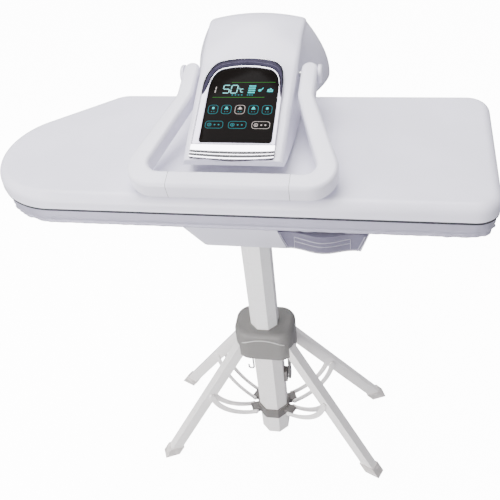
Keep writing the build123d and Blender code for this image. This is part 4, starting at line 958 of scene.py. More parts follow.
@dataclass
class IroningBoard:
    """The board: cloth cover with its gathered skirt, felt pad and sheet pan."""

    inset: float = 7.0
    top: float = -40.1
    skirt: float = 38.0
    skirt_rows: tuple[float, float, int] = (0.1, 0.97, 22)
    edge: float = 7.0
    edge_steps: int = 8
    hem: Pairs = ((6.0, 1.2), (2.5, 0.6), (0.6, 1.5))
    hem_fold: float = 0.4
    top_rings: tuple[float, ...] = (16.0, 26.0, 36.0)
    seed: int = 7
    waves: Pairs = ((61, 0.5), (97, 0.4), (143, 0.3), (29, 0.35), (211, 0.15))
    swells: tuple[int, ...] = (3, 5, 8, 13)
    window: int = 21
    tight: float = 0.012
    envelope: tuple[float, float] = (0.45, 0.35)
    fold_depth: float = 1.7
    lean: float = 0.35
    lean_shift: int = 3
    lean_height: float = 20.0
    belly: float = 2.2
    cord_level: float = 9.0
    cord_width: float = 3.0
    cord_pull: float = 1.5
    middle: int = 12

    def folds(self, ring: np.ndarray) -> np.ndarray:
        """The cloth's gathers along the skirt, from -1 to 1 and deeper where the outline bends.

        Args:
            ring: The outline's points.

        Returns:
            A sum of sines of the way along the outline, each with its own phase, times their
            envelope.
        """
        ahead = np.roll(ring, -1, 0) - ring
        step = np.linalg.norm(ahead, axis=1)
        turn = 2 * pi * (np.cumsum(step) - step) / step.sum()
        dice = np.random.default_rng(self.seed)
        wave = sum(w * np.sin(n * turn + dice.uniform(0, 2 * pi)) for n, w in self.waves)
        swell = sum(np.sin(n * turn + dice.uniform(0, 2 * pi)) for n in self.swells)
        heading = np.abs(np.unwrap(np.arctan2(ahead[:, 1], ahead[:, 0])))
        bend = np.abs(np.gradient(heading)) / np.maximum(step, 0.5)
        pad = self.window - 1
        even = np.ones(self.window) / self.window
        bend = np.convolve(np.r_[bend[-pad:], bend, bend[:pad]], even, "same")[pad:-pad]
        even, rise = self.envelope
        return wave * (even + rise * swell / len(self.swells) + np.clip(bend / self.tight, 0, 1))

    def push(self, rings: np.ndarray) -> np.ndarray:
        """How far each point of the cloth lies outside the plain rings.

        Args:
            rings: The plain rings.

        Returns:
            The folds, growing down the skirt and leaning as they go, plus a belly halfway down and
            less the pull of the cord near the hem.
        """
        low, height = self.top - self.skirt, rings[:, :, 2]
        fold = self.folds(rings[self.middle, :, :2])
        down = smooth_step(-height, -self.top + 1, -low)
        cord = np.exp(-(((height - low - self.cord_level) / self.cord_width) ** 2))
        lean = smooth_step(-height, -self.top, -self.top + self.lean_height)
        lean = self.lean * lean * np.roll(fold, self.lean_shift)
        push = self.fold_depth * (down**1.2 * fold + lean) + self.belly * down * (1 - down)
        push -= self.cord_pull * cord * (1 + self.hem_fold * fold)
        push[:2] = self.hem_fold * fold
        return push

    def close_top(self, mesh: bpy.types.Mesh) -> None:
        """Fill the hole in the cloth's top with one flat face, mapped from above.

        Args:
            mesh: The cloth.
        """
        brim = DECK.world((0, 0, self.top - 1))[2]
        with opened(mesh) as work:
            layer = work.loops.layers.uv["cloth"]
            edges = [e for e in work.edges if e.is_boundary and e.verts[0].co.z > brim]
            for face in bmesh.ops.contextual_create(work, geom=edges)["faces"]:
                for loop in face.loops:
                    loop[layer].uv = loop.vert.co.xy
            bmesh.ops.recalc_face_normals(work, faces=work.faces)

    def build(self) -> None:
        """Make the cloth cover with its folds and dress the pad and the pan."""
        low, inset, side = self.top - self.skirt, self.inset, self.skirt - self.edge
        profile = [(inset + inwards, low + up) for inwards, up in self.hem]
        profile += [(inset, low + t * side) for t in np.linspace(*self.skirt_rows)]
        profile += rounding(inset, self.top, self.edge, self.edge_steps)
        profile += [(inset + reach, self.top) for reach in self.top_rings]
        rings = BOARD.rings(profile)
        ring = rings[self.middle, :, :2]
        along = np.roll(ring, -1, 0) - np.roll(ring, 1, 0)
        normal = joined(-along[:, 1], along[:, 0]) / np.linalg.norm(along, axis=1, keepdims=True)
        rings[..., :2] += self.push(rings)[..., None] * normal
        waist = rings[self.middle]
        way = np.cumsum(np.linalg.norm(np.diff(waist, axis=0, append=waist[:1]), axis=1))
        over = np.cumsum([0, *np.hypot(*np.diff(profile, axis=0).T)])
        uv = joined(way[None, :], over[:, None]) / 1000
        mesh = grid_mesh("board_cloth", DECK.world(rings), Grid.SLEEVE, uv)
        self.close_top(mesh)
        cloth = finished(mesh, Finish.COVER, "deck", ["board_cover"], 60)
        refined("felt_pad", Finish.FELT)
        refined("board_pan", Finish.PAN, 0.0004)


@dataclass
class HeadCover:
    """The white head: a crowned top between two hollow flanks that flare towards the hinge."""

    shift: float = 14.0
    wall: float = 2.6
    crease: float = 7.0
    sections: tuple[tuple[float, ...], ...] = (
        (-130.0, 36.0, 97.0, 96.3, 96.0, 46.0, 50.0),
        (-100.0, 27.0, 98.0, 97.3, 97.0, 56.0, 60.5),
        (-50.0, 17.0, 99.4, 98.2, 97.7, 71.5, 76.5),
        (0.0, 8.0, 101.0, 99.3, 98.5, 87.0, 92.5),
        (55.0, 4.0, 102.0, 100.3, 99.4, 102.5, 110.0),
        (110.0, 2.5, 103.0, 101.3, 100.5, 118.0, 127.0),
        (140.0, 2.0, 106.0, 103.4, 102.0, 129.0, 139.0),
        (200.0, 2.0, 130.0, 123.0, 102.5, 145.0, 158.0),
        (245.0, 2.0, 146.0, 137.0, 104.0, 148.0, 161.0),
        (272.0, 2.0, 149.0, 138.0, 100.0, 130.0, 144.0),
        (284.0, 2.0, 146.0, 134.0, 96.5, 108.0, 121.0),
        (292.0, 2.0, 140.0, 128.0, 92.0, 82.0, 94.0),
    )
    nose_round: float = 4.0
    nose_turn: tuple[float, float, int] = (0.12, pi / 2, 6)
    spans: tuple[tuple[float, float, int], ...] = ((-130, 60, 90), (63, 240, 56), (242, 292, 36))

    def build(self, display: "Display") -> None:
        """Make the head's shell, with a shallow seat under the display's frame.

        Args:
            display: The display that sits in the head.
        """
        y = np.concatenate([np.linspace(*span) for span in self.spans])
        knots, *columns = np.array(self.sections).T
        low, foot, waist, narrow, fold, crown = (smooth_curve(y, knots, c) for c in columns)
        r = self.crease
        under, over = fold - r, fold + r / 4
        start, end = joined(narrow, under), joined(narrow - r, over)
        flank = through(joined(foot, low), joined(waist, (low + under) / 2), start, 26)
        bend = through(start, joined(narrow - r / 4, fold - r / 4), end, 9)
        half = np.concatenate([flank[:, :-1], bend[:, :-1]], 1)
        top = through(end * (-1, 1), joined(0, crown), end, 73)
        ring = np.concatenate([half * (-1, 1), top, half[:, ::-1]], 1)
        shell = joined(ring[..., 0] + self.shift, y[:, None], ring[..., 1])
        shell = np.concatenate([self.nose(shell[0]), shell, self.nose(shell[-1])[::-1]])
        mesh = grid_mesh("head_shell", DECK.world(display.press_seat(shell)), Grid.SHELL)
        with opened(mesh) as work:
            if sum(f.normal.z * f.calc_area() for f in work.faces) < 0:
                bmesh.ops.reverse_faces(work, faces=work.faces)
        piece = finished(mesh, Finish.HEAD, "press", ["head_cover"], 40)
        wall = piece.modifiers.new("wall", "SOLIDIFY")
        wall.thickness = self.wall / 1000
        wall.offset = -1
        refined("head_arm", Finish.STEEL, 0.0004)
        for node, finish in (
            ("shoe_bolts", Finish.STEEL),
            ("steam_hose", Finish.HOSE),
            ("control_board", Finish.CIRCUIT),
            ("handle_shaft", Finish.PIN),
            ("hinge_bushes", Finish.GUIDE),
        ):
            refined(node, finish)

    def nose(self, ring: np.ndarray) -> np.ndarray:
        """Rings that round an end of the head off, all in the end's own plane.

        Args:
            ring: The end's full ring.

        Returns:
            The ring drawn in by r(1 - sin(a)) towards its middle, but never below its lowest point.
        """
        middle = np.array([self.shift, ring[0, 1], ring[:, 2].mean()])
        away = ring - middle
        away /= np.linalg.norm(away[:, (0, 2)], axis=1, keepdims=True)
        rings = []
        for a in np.linspace(*self.nose_turn)[:-1]:
            moved = ring - away * self.nose_round * (1 - sin(a))
            moved[:, 2] = np.maximum(moved[:, 2], ring[:, 2].min())
            rings.append(moved)
        return np.stack(rings)


@dataclass(frozen=True)
class Crescent:
    """A raised band over the display's frame, round its shoulders and crown.

    It lies between two shares (band) of the way from the frame's outline to the glass, starts and
    ends some of the outline's points past the shoulders (past), is drawn out over a share of its
    length at its right and left end (taper) and stands over the frame by its rise.
    """

    name: str
    finish: Finish
    band: tuple[float, float]
    past: tuple[int, int]
    taper: tuple[float, float]
    rise: float


@dataclass
class Display:
    """The tilted display: glass, bright frame, smoked arch, bar and lit marks."""

    shift: float = 14.0
    front: float = -95.0
    level: float = 62.5
    tilt: float = radians(18.0)
    glass: tuple[float, ...] = (70.0, 0.0, 138.0, 46.0, 184.0, 190.5)
    frame: tuple[float, ...] = (84.0, -4.3, 143.0, 52.0, 206.5, 214.0)
    bar: tuple[float, float] = (-4.5, -33.5)
    bow: float = 5.0
    right: float = 78.5
    shoulder: int = 84
    arc: int = 93
    glass_corner: float = 6.0
    pane: Pairs = ((0.0, -3.0), (0.0, -0.9), (0.35, -0.5), (0.9, -0.3))
    band: Pairs = (
        (0.0, -5.0), (0.0, 0.6), (0.03, 1.3), (0.09, 1.8), (0.2, 2.0), (0.5, 1.7), (0.8, 1.2),
        (0.88, 1.3), (0.93, 1.5), (0.98, 1.2), (1.0, 0.6), (1.0, -5.0),
    )
    crescents: tuple[Crescent, ...] = (
        Crescent("smoked_arch", Finish.SMOKED, (0.02, 0.85), (-18, 15), (0.17, 0.15), 1.9),
        # The two streak strips are lighter metal laid over the arch: painted reflections of its
        # curve.
        Crescent("arch_painted_glint_1", Finish.GLINT, (0.16, 0.24), (-8, 4), (0.25, 0.25), 2.5),
        Crescent("arch_painted_glint_2", Finish.GLINT, (0.46, 0.60), (-11, 8), (0.3, 0.3), 2.5),
        Crescent("bright_line", Finish.LINE, (0.865, 0.985), (-16, 2), (0.10, 0.10), 1.0),
    )
    crescent_level: float = 1.1
    crescent_foot: float = -0.6
    thinnest: float = 0.04
    flattest: float = 0.3
    rim: tuple[int, int] = (44, 218)
    rim_inset: float = 0.3
    rim_level: float = 1.3
    rim_radius: float = 0.75
    bed: tuple[float, float] = (-4.0, 1.9)
    bed_inside: tuple[float, float] = (0.5, 1.0)
    bands: tuple[tuple[float, float, float], ...] = (
        (-4.5, -18.6, 2.6), (-23.0, -25.6, 2.5), (-30.0, -33.5, 2.2),
    )
    band_foot: float = 0.4
    bar_round: float = 0.9
    bar_inset: float = 0.4
    seat: float = 9.0

    def world(self, points: np.ndarray) -> np.ndarray:
        """Points u, v, h on the display as metres in the row's frame.

        Args:
            points: Right, up the slope, and out of the glass, in millimetres.

        Returns:
            The points, turned by the tilt about X and moved to the display's place. Right of the
            glass they are drawn in, because the frame is narrower there.
        """
        u, v, h = np.moveaxis(np.asarray(points, float), -1, 0)
        spare = np.clip((u - self.glass[0]) / (self.frame[0] - self.glass[0]), 0, 1)
        u = u - spare * (self.frame[0] - self.right)
        y = self.front + v * cos(self.tilt) - h * sin(self.tilt)
        z = self.level + v * sin(self.tilt) + h * cos(self.tilt)
        return DECK.world(joined(u + self.shift, y, z))

    def sag(self, u: np.ndarray, v: np.ndarray | float) -> np.ndarray:
        """How far the bar bows down: bow * (s^2 - 1), s across it, growing from its upper edge."""
        return self.bow * ((u / self.frame[0]) ** 2 - 1) * np.clip(v / self.bar[1], 0, 1)

    def arch(self, shape: Sequence[float], inset: float = 0.0, corner: float = 2.0) -> np.ndarray:
        """An arched outline, with the same number of points for any shape.

        Args:
            shape: Half width, low edge, side's height, shoulder's half width and height, and top.
            inset: How far inside the outline the ring lies.
            corner: The radius of the lower corners.

        Returns:
            Points u, v: a flat foot, round corners, straight sides, and parabolas over the
            shoulders and the crown.
        """
        half, low, side, shoulder, shoulder_v, top = shape
        knee = (half + shoulder) / 2 + (half - shoulder) / 5
        knee_v = side + (shoulder_v - side) * 2 / 3
        a, b = (half - inset, side), (knee - inset, knee_v - inset / 2)
        c, d = (shoulder - inset / 2, shoulder_v - inset), (0.0, top - inset)
        base, t = low + inset, np.linspace(0, pi / 2, 9)[1:]
        foot = np.linspace((corner - a[0], base), (a[0] - corner, base), 40)
        turn = joined(a[0] - corner * (1 - np.sin(t)), base + corner * (1 - np.cos(t)))
        right = np.linspace((a[0], base + corner), a, 37, endpoint=False)[1:]
        bend = through(a, b, c, 24)[:-1]
        crown = through(c, d, (-c[0], c[1]), 48)[:-1]
        bend_left = (bend * (-1, 1))[::-1]
        bend_left = np.concatenate([[(-c[0], c[1])], bend_left[:-1]])
        left = np.linspace((-a[0], side), (-a[0], base + corner), 36, endpoint=False)
        turn_left = (turn * (-1, 1))[::-1]
        return np.concatenate([foot, turn, right, bend, crown, bend_left, left, turn_left])

    def press_seat(self, shell: np.ndarray) -> np.ndarray:
        """The head's points, those under the frame pushed in, so that nothing shows through.

        Args:
            shell: The head's points, in millimetres on the deck.

        Returns:
            The points, moved into the slope by the seat's depth within the frame's outline.
        """
        u = shell[..., 0] - self.shift
        y, z = shell[..., 1] - self.front, shell[..., 2] - self.level
        v = y * cos(self.tilt) + z * sin(self.tilt)
        half, _, side, _, _, top = self.frame
        half = np.where(u > 0, self.right, half)
        crown = half * np.sqrt(np.clip(1 - ((v - side) / (top - side)) ** 2, 0, 1))
        reach = np.where(v < side, half, crown) - np.abs(u)
        rise = v - self.bar[1] - self.sag(u, self.bar[1])
        inside = smooth_step(reach, 1.0, 5) * smooth_step(rise, -0.5, 2.5) * (v < top)
        near = smooth_step(z * cos(self.tilt) - y * sin(self.tilt), -14, -9)
        depth = self.seat * inside * near
        return shell + joined(0, depth * sin(self.tilt), -depth * cos(self.tilt))

    def build(self) -> None:
        """Make the glass, the frame, the arch, the bar and the marks."""
        pane = self.arch(self.glass, 0.15, self.glass_corner)
        away = pane - pane.mean(0)
        away /= np.linalg.norm(away, axis=1, keepdims=True)
        rows = np.stack([at_level(pane - inset * away, height) for inset, height in self.pane])
        grid_piece("glass_pane", self.world(rows), Finish.GLASS, "press", ["display_glass"], 50)
        outer, inner = self.arch(self.frame), self.arch(self.glass, -0.1, self.glass_corner)
        rows = [at_level(outer + share * (inner - outer), height) for share, height in self.band]
        band = self.world(np.stack(rows))
        grid_piece("frame_band", band, Finish.SILVER, "press", ["chrome_bezel"], 50, Grid.RING)
        for crescent in self.crescents:
            self.build_crescent(crescent)
        first, last = self.rim
        path = at_level(self.arch(self.frame, self.rim_inset)[first:last], self.rim_level)
        rim = self.world(swept_tube(path, self.rim_radius, 8))
        grid_piece("bright_rim", rim, Finish.LINE, "press", ["chrome_bezel"])
        self.build_bar()
        DisplayMarks(self).build()

    def build_crescent(self, one: Crescent) -> None:
        """Make a crescent.

        With w rising from 0 to 1 at each end, its edges lie at the shares s0 and s0 + (s1 - s0) w,
        and it is a half ellipse high over them.

        Args:
            one: The crescent.
        """
        along = np.linspace(0, 1, 150)
        start, end = self.shoulder + one.past[0], self.shoulder + self.arc + one.past[1]
        pick = start + along * (end - start)
        wide = smooth_step(along, 0, one.taper[0]) * smooth_step(1 - along, 0, one.taper[1])
        wide = np.maximum(wide, self.thinnest)[:, None]
        rings = (self.arch(self.frame), self.arch(self.glass, 0.0, self.glass_corner))
        number = np.arange(len(rings[0]))
        outer, inner = (joined(*(np.interp(pick, number, axis) for axis in r.T)) for r in rings)
        share = np.pad((1 - np.cos(np.linspace(0, pi, 13))) / 2, 1, "edge")
        height = np.sqrt(np.clip(1 - (2 * share - 1) ** 2, 0, 1)) * one.rise
        height[0] = height[-1] = self.crescent_foot
        way = (one.band[0] + (one.band[1] - one.band[0]) * share * wide)[..., None]
        flat = outer[:, None] + (inner - outer)[:, None] * way
        lift = self.crescent_level + height * np.maximum(wide, self.flattest)
        points = self.world(np.concatenate([flat, lift[..., None]], -1))
        grid_piece(one.name, points, one.finish, "press", ["chrome_bezel"], 60)

    def build_bar(self) -> None:
        """The bright bar under the glass: three rounded bands bowed across a dark bed."""
        high, low = self.bar[0] - self.bed_inside[0], self.bar[1] + self.bed_inside[1]
        bed = self.world(self.bar_band(high, low, *self.bed))
        grid_piece("bar_bed", bed, Finish.GROOVE, "press", ["chrome_bar"], 50)
        for number, (high, low, face) in enumerate(self.bands, 1):
            band = self.world(self.bar_band(high, low, self.band_foot, face))
            grid_piece(f"bar_band_{number}", band, Finish.LINE, "press", ["chrome_bar"], 50)

    def bar_band(self, high: float, low: float, foot: float, face: float) -> np.ndarray:
        """One band of the bar between two heights up the slope, its upper edges rounded.

        Args:
            high: Its upper edge up the slope.
            low: Its lower edge.
            foot: The level of its underside.
            face: The level of its face.

        Returns:
            Points u, v, h, as columns round the band and rows across it.
        """
        r = min(self.bar_round, (face - foot) / 2)
        a = np.linspace(0, pi / 2, 5)
        out, drop = r * (1 - np.cos(a)), r * (1 - np.sin(a))
        v = np.concatenate([[high], high - out, low + out[::-1], [low]])
        h = np.concatenate([[foot], face - drop, face - drop[::-1], [foot]])
        half = self.frame[0] - self.bar_inset
        u = np.linspace(-half, half, 61)[:, None]
        return joined(u, v + self.sag(u, v), h)


class Segments(Enum):
    """The lit bars of a figure: top, upper left and right, middle, lower left and right, foot."""

    ONE = "0010010"
    FIVE = "1101011"
    ZERO = "1110111"


@dataclass
class DisplayMarks:
    """The lit marks under the glass, drawn flat with a pen in the display's own plane."""

    display: Display
    level: float = -0.23
    lean: float = 0.08
    gap: float = 0.9
    figure_pen: float = 1.9
    key_pen: float = 0.85
    ring_pen: float = 1.1
    quads: dict[Finish, list[np.ndarray]] = field(default_factory=dict)

    def fill(self, finish: Finish, quads: np.ndarray) -> None:
        """Add quads, as quads by 4 by 2, to a light."""
        self.quads.setdefault(finish, []).append(quads)

    def line(
        self, finish: Finish, points: Sequence[Sequence[float]], pen: float, closed: bool = False
    ) -> None:
        """Draw a line of a width through points, its corners mitred.

        Args:
            finish: The light.
            points: The points u, v.
            pen: The width of the line.
            closed: Whether the line ends where it starts.
        """
        path = np.asarray(points, float)
        if closed:
            before, after = np.roll(path, 1, 0), np.roll(path, -1, 0)
        else:
            before = np.concatenate([[2 * path[0] - path[1]], path[:-1]])
            after = np.concatenate([path[1:], [2 * path[-1] - path[-2]]])
        one, two = path - before, after - path
        one /= np.linalg.norm(one, axis=1, keepdims=True)
        two /= np.linalg.norm(two, axis=1, keepdims=True)
        side = joined(-(one + two)[:, 1], (one + two)[:, 0])
        side /= np.linalg.norm(side, axis=1, keepdims=True)
        square = joined(-one[:, 1], one[:, 0])
        side *= pen / 2 / np.maximum(0.4, (side * square).sum(1, keepdims=True))
        here = np.arange(len(path) if closed else len(path) - 1)
        following = (here + 1) % len(path)
        left, right = path + side, path - side
        quads = np.stack([left[here], right[here], right[following], left[following]], 1)
        self.fill(finish, quads)

    def box(self, finish: Finish, u: float, v: float, width: float, height: float) -> None:
        """Fill a rectangle about a middle."""
        corners = np.array([[-1, -1], [1, -1], [1, 1], [-1, 1]])
        self.fill(finish, (corners * (width / 2, height / 2) + (u, v))[None])

    def dot(self, finish: Finish, u: float, v: float, radius: float) -> None:
        """Fill a circle, as eight quads from its middle.

        Args:
            finish: The light.
            u: Its middle, to the right.
            v: Its middle, up the slope.
            radius: Its radius.
        """
        rim = unit(np.linspace(0, 2 * pi, 17)) * radius + (u, v)
        middle = np.broadcast_to((u, v), (8, 2))
        self.fill(finish, np.stack([middle, rim[0:-2:2], rim[1:-1:2], rim[2::2]], 1))

    def key(
        self, finish: Finish, u: float, v: float, width: float, height: float, bend: float
    ) -> None:
        """Outline a key, its corners quarter circles.

        Args:
            finish: The light.
            u: Its middle, to the right.
            v: Its middle, up the slope.
            width: Its width.
            height: Its height.
            bend: The radius of its corners.
        """
        points = []
        for number, corner in enumerate(((1, 1), (-1, 1), (-1, -1), (1, -1))):
            middle = np.array(corner) * (width / 2 - bend, height / 2 - bend) + (u, v)
            points.append(unit(number * pi / 2 + np.linspace(0, pi / 2, 7)) * bend + middle)
        self.line(finish, np.concatenate(points), self.key_pen, True)

    def figure(
        self, finish: Finish, bars: Segments, u: float, v: float, width: float, height: float
    ) -> None:
        """Draw a seven-bar figure, leaning a little.

        Args:
            finish: The light.
            bars: The bars that are lit.
            u: Its middle, to the right.
            v: Its middle, up the slope.
            width: Its width.
            height: Its height.
        """
        w, h = width / 2, height / 2
        ends = (
            ((-w, h), (w, h)), ((-w, h), (-w, 0)), ((w, h), (w, 0)), ((-w, 0), (w, 0)),
            ((-w, 0), (-w, -h)), ((w, 0), (w, -h)), ((-w, -h), (w, -h)),
        )
        for lit, bar in zip(bars.value, np.array(ends)):
            if lit == "1":
                way = (bar[1] - bar[0]) / np.linalg.norm(bar[1] - bar[0])
                bar = bar + way * np.array([[self.gap], [-self.gap]])
                points = joined(u + bar[:, 0] + self.lean * bar[:, 1], v + bar[:, 1])
                self.line(finish, points, self.figure_pen)

    def readout(self) -> None:
        """The temperature with its degree mark, the level bars, two small signs and the rules."""
        self.figure(Finish.WARM, Segments.ONE, -59.0, 131.5, 6.0, 17.0)
        self.figure(Finish.PALE, Segments.FIVE, -34.5, 133.0, 12.5, 20.0)
        self.figure(Finish.PALE, Segments.ZERO, -18.5, 133.0, 12.5, 20.0)
        ring = unit(np.linspace(0, 2 * pi, 12, endpoint=False))
        self.line(Finish.PALE, ring * 1.6 + (-8.3, 134.5), 0.8, True)
        hook = unit(np.linspace(0.9, 5.4, 10)) * (3.4, 4.4)
        self.line(Finish.PALE, hook + (-2.4, 129.5), 1.4)
        for step in range(4):
            self.box(Finish.AQUA, 16.5 + step * 0.3, 124.5 + 5.6 * step, 14.0, 3.4)
        for start, pitch, count in ((-20.5, 6.2, 4), (10.0, 4.6, 3)):
            for step in range(count):
                self.box(Finish.TEAL, start + pitch * step, 118.3, 3.0, 2.4)
        self.dot(Finish.AQUA, 33.0, 130.0, 3.2)
        self.line(Finish.AQUA, [(33.0, 131.0), (37.5, 133.0), (39.5, 137.0)], 2.0)
        self.box(Finish.AQUA, 53.5, 128.0, 11.5, 4.2)
        for u, v, radius in ((50.3, 131.5, 2.1), (54.4, 133.4, 2.4), (58.0, 131.3, 1.6)):
            self.dot(Finish.AQUA, u, v, radius)
        self.line(Finish.GREEN, [(-26, 150.5), (62, 151.0)], 1.1)
        self.line(Finish.GREEN, [(-60, 112.0), (44, 112.5)], 1.1)

    def square_key(self, number: int, u: float) -> None:
        """A square key with its sign and two dots.

        Args:
            number: Its number in the row, from 0; number 2 is lit.
            u: Its middle, to the right.
        """
        lit = Finish.WARM if number == 2 else Finish.TEAL
        sign = Finish.WARM if number == 2 else Finish.AQUA
        self.key(lit, u, 81.5, 19.0, 21.5, 6.0)
        self.dot(sign, u, 85.2 + number % 2, 2.6)
        self.box(sign, u, 83.2, 7.5 if number % 2 else 4.5, 2.6)
        if number == 2:
            self.line(sign, [(u - 4.2, 82.4), (u, 87.4), (u + 4.2, 82.4)], 1.3)
        for away in (-2.6, 2.6):
            self.dot(Finish.TEAL, u + away, 76.3, 0.9)

    def long_key(self, number: int, u: float) -> None:
        """A long key with its ring and two dots.

        Args:
            number: Its number in the row, from 0; number 2 is lit.
            u: Its middle, to the right.
        """
        lit = Finish.WARM if number == 2 else Finish.TEAL
        self.key(lit, u, 44.0, 34.5, 17.0, 5.5)
        ring = unit(np.linspace(0, 2 * pi, 14, endpoint=False))
        self.line(lit, ring * 3.6 + (u - 9.5, 44.0), self.ring_pen, True)
        self.box(lit, u - 9.5, 44.0, 1.6, 3.6)
        for away in (1.0, 9.0):
            self.dot(lit, u + away, 44.0, 1.7)

    def build(self) -> None:
        """Draw every mark and make one piece for each light."""
        self.readout()
        for number, u in enumerate((-54.0, -27.5, -0.5, 26.0, 53.0)):
            self.square_key(number, u)
        for number, u in enumerate((-46.5, -0.8, 45.0)):
            self.long_key(number, u)
        for finish, drawn in self.quads.items():
            points = at_level(np.concatenate(drawn).reshape(-1, 2), self.level)
            mesh = bpy.data.meshes.new(f"marks_{finish.value.name}")
            faces = np.arange(len(points)).reshape(-1, 4).tolist()
            mesh.from_pydata(self.display.world(points), [], faces)
            finished(mesh, finish, "press")


@dataclass
class Handle:
    """The bow handle with its grip, the seams at its ends and the caps of its pivots."""

    shift: float = 14.0
    grip: float = 114.5
    bar: tuple[float, float] = (-180.0, 27.0)
    pivot: tuple[float, float] = (115.0, 90.0)
    half: tuple[float, float] = (19.0, 20.0)
    bend: float = 8.0
    seam: float = 0.45
    proud: float = 0.15

    def build(self) -> None:
        """Dress the handle's nodes with fine rounded edges and make the seams."""
        refined("handle", Finish.BOW, 0.0005, 40)
        refined("grip_sleeve", Finish.GRIP, 0.0005, 40)
        refined("pivot_caps", Finish.BOW, 0.0004, 40)
        self.build_seam("grip_seam_left", -self.grip)
        self.build_seam("grip_seam_right", self.grip)

    def build_seam(self, name: str, place: float) -> None:
        """A thin joint round the bar: corner centre + bend * (cos(a), sin(a)), turned to the slope.

        Args:
            name: The piece's name.
            place: How far right of the handle's middle it lies.
        """
        slope = np.arctan2(self.pivot[1] - self.bar[1], self.pivot[0] - self.bar[0])
        a = np.linspace(0, 2 * pi, 48, endpoint=False) + pi / 96
        bend = self.bend + self.proud
        along = np.sign(np.cos(a)) * (self.half[0] - self.bend) + bend * np.cos(a)
        over = np.sign(np.sin(a)) * (self.half[1] - self.bend) + bend * np.sin(a)
        y = self.bar[0] + along * cos(slope) - over * sin(slope)
        z = self.bar[1] + along * sin(slope) + over * cos(slope)
        x = self.shift + place + np.array([[-self.seam], [self.seam]])
        grid_piece(name, DECK.world(joined(x, y, z)), Finish.JOINT, "handle", sharp=30)


@dataclass
class BaseCase:
    """The case under the board with its hinge, pump, hoses and rubber pads."""

    shift: float = 14.0
    hinge: tuple[float, float] = (245.0, -30.0)
    coil: float = 14.5
    turns: int = 5
    wire: float = 3.0
    spring: float = 38.0
    spring_start: float = 5.0
    gland_x: float = 190.0
    gland: float = 24.0
    gland_radii: tuple[float, float, float] = (9.0, 6.0, 3.5)
    gland_hole: float = 6.0
    ribs: int = 6
    rib: float = 1.1
    rib_share: float = -0.1
    rib_start: tuple[float, float] = (4.0, 4.5)

    def build(self) -> None:
        """Dress the case and make the springs and the ribbed gland."""
        refined("base_case", Finish.CASE, 0.0014, 30)
        for node, finish, edge in (
            ("base_feet", Finish.BLACK, 0.0008),
            ("pump", Finish.GUIDE, 0.0006),
            ("pump_hose", Finish.HOSE, 0.0),
            ("hinge_bracket", Finish.STEEL, 0.0005),
            ("hinge_shaft", Finish.PIN, 0.0005),
            ("mount_plate", Finish.TUBE, 0.0006),
            ("mount_bolts", Finish.STEEL, 0.0004),
        ):
            refined(node, finish, edge)
        self.build_spring("lift_spring_1", -1)
        self.build_spring("lift_spring_2", 1)
        self.build_gland()

    def build_spring(self, name: str, side: int) -> None:
        """A coil round the hinge shaft: x = p t, y = R cos(t), z = R sin(t) under a round wire.

        Args:
            name: The piece's name.
            side: -1 for the left spring and 1 for the right.
        """
        t = np.linspace(0, self.turns * 2 * pi, 240)
        run = self.spring - 2 * self.wire
        x = self.shift + side * (self.spring_start + self.wire + run * t / t[-1])
        path = joined(
            x, self.hinge[0] + self.coil * np.cos(t), self.hinge[1] + self.coil * np.sin(t)
        )
        coil = DECK.world(swept_tube(path, self.wire))
        grid_piece(name, coil, Finish.SPRING, "deck", ["lift_springs"])

    def build_gland(self) -> None:
        """A tapered gland with ribs: radius falls evenly along it and dips between the ribs."""
        big, small, bore = self.gland_radii
        along = np.linspace(0, self.gland, 120)
        radius = big - (big - small) * along / self.gland
        dip = np.cos(along / self.gland * 2 * pi * self.ribs) < self.rib_share
        radius -= self.rib * dip * smooth_step(along, *self.rib_start)
        end, hole = (self.gland, bore), (self.gland_hole, bore)
        grid = turned([(0.0, bore), *zip(along, radius), end, hole])
        low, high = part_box("cable_gland")
        back = high.y * 1000 + DECK.setback - self.gland
        level = (low.z + high.z) * 500 - DECK.level
        placed = joined(grid[..., 1] + self.gland_x, grid[..., 0] + back, grid[..., 2] + level)
        gland = DECK.world(placed)
        grid_piece("ribbed_gland", gland, Finish.BLACK, "deck", ["cable_gland"], grid=Grid.SLEEVE)


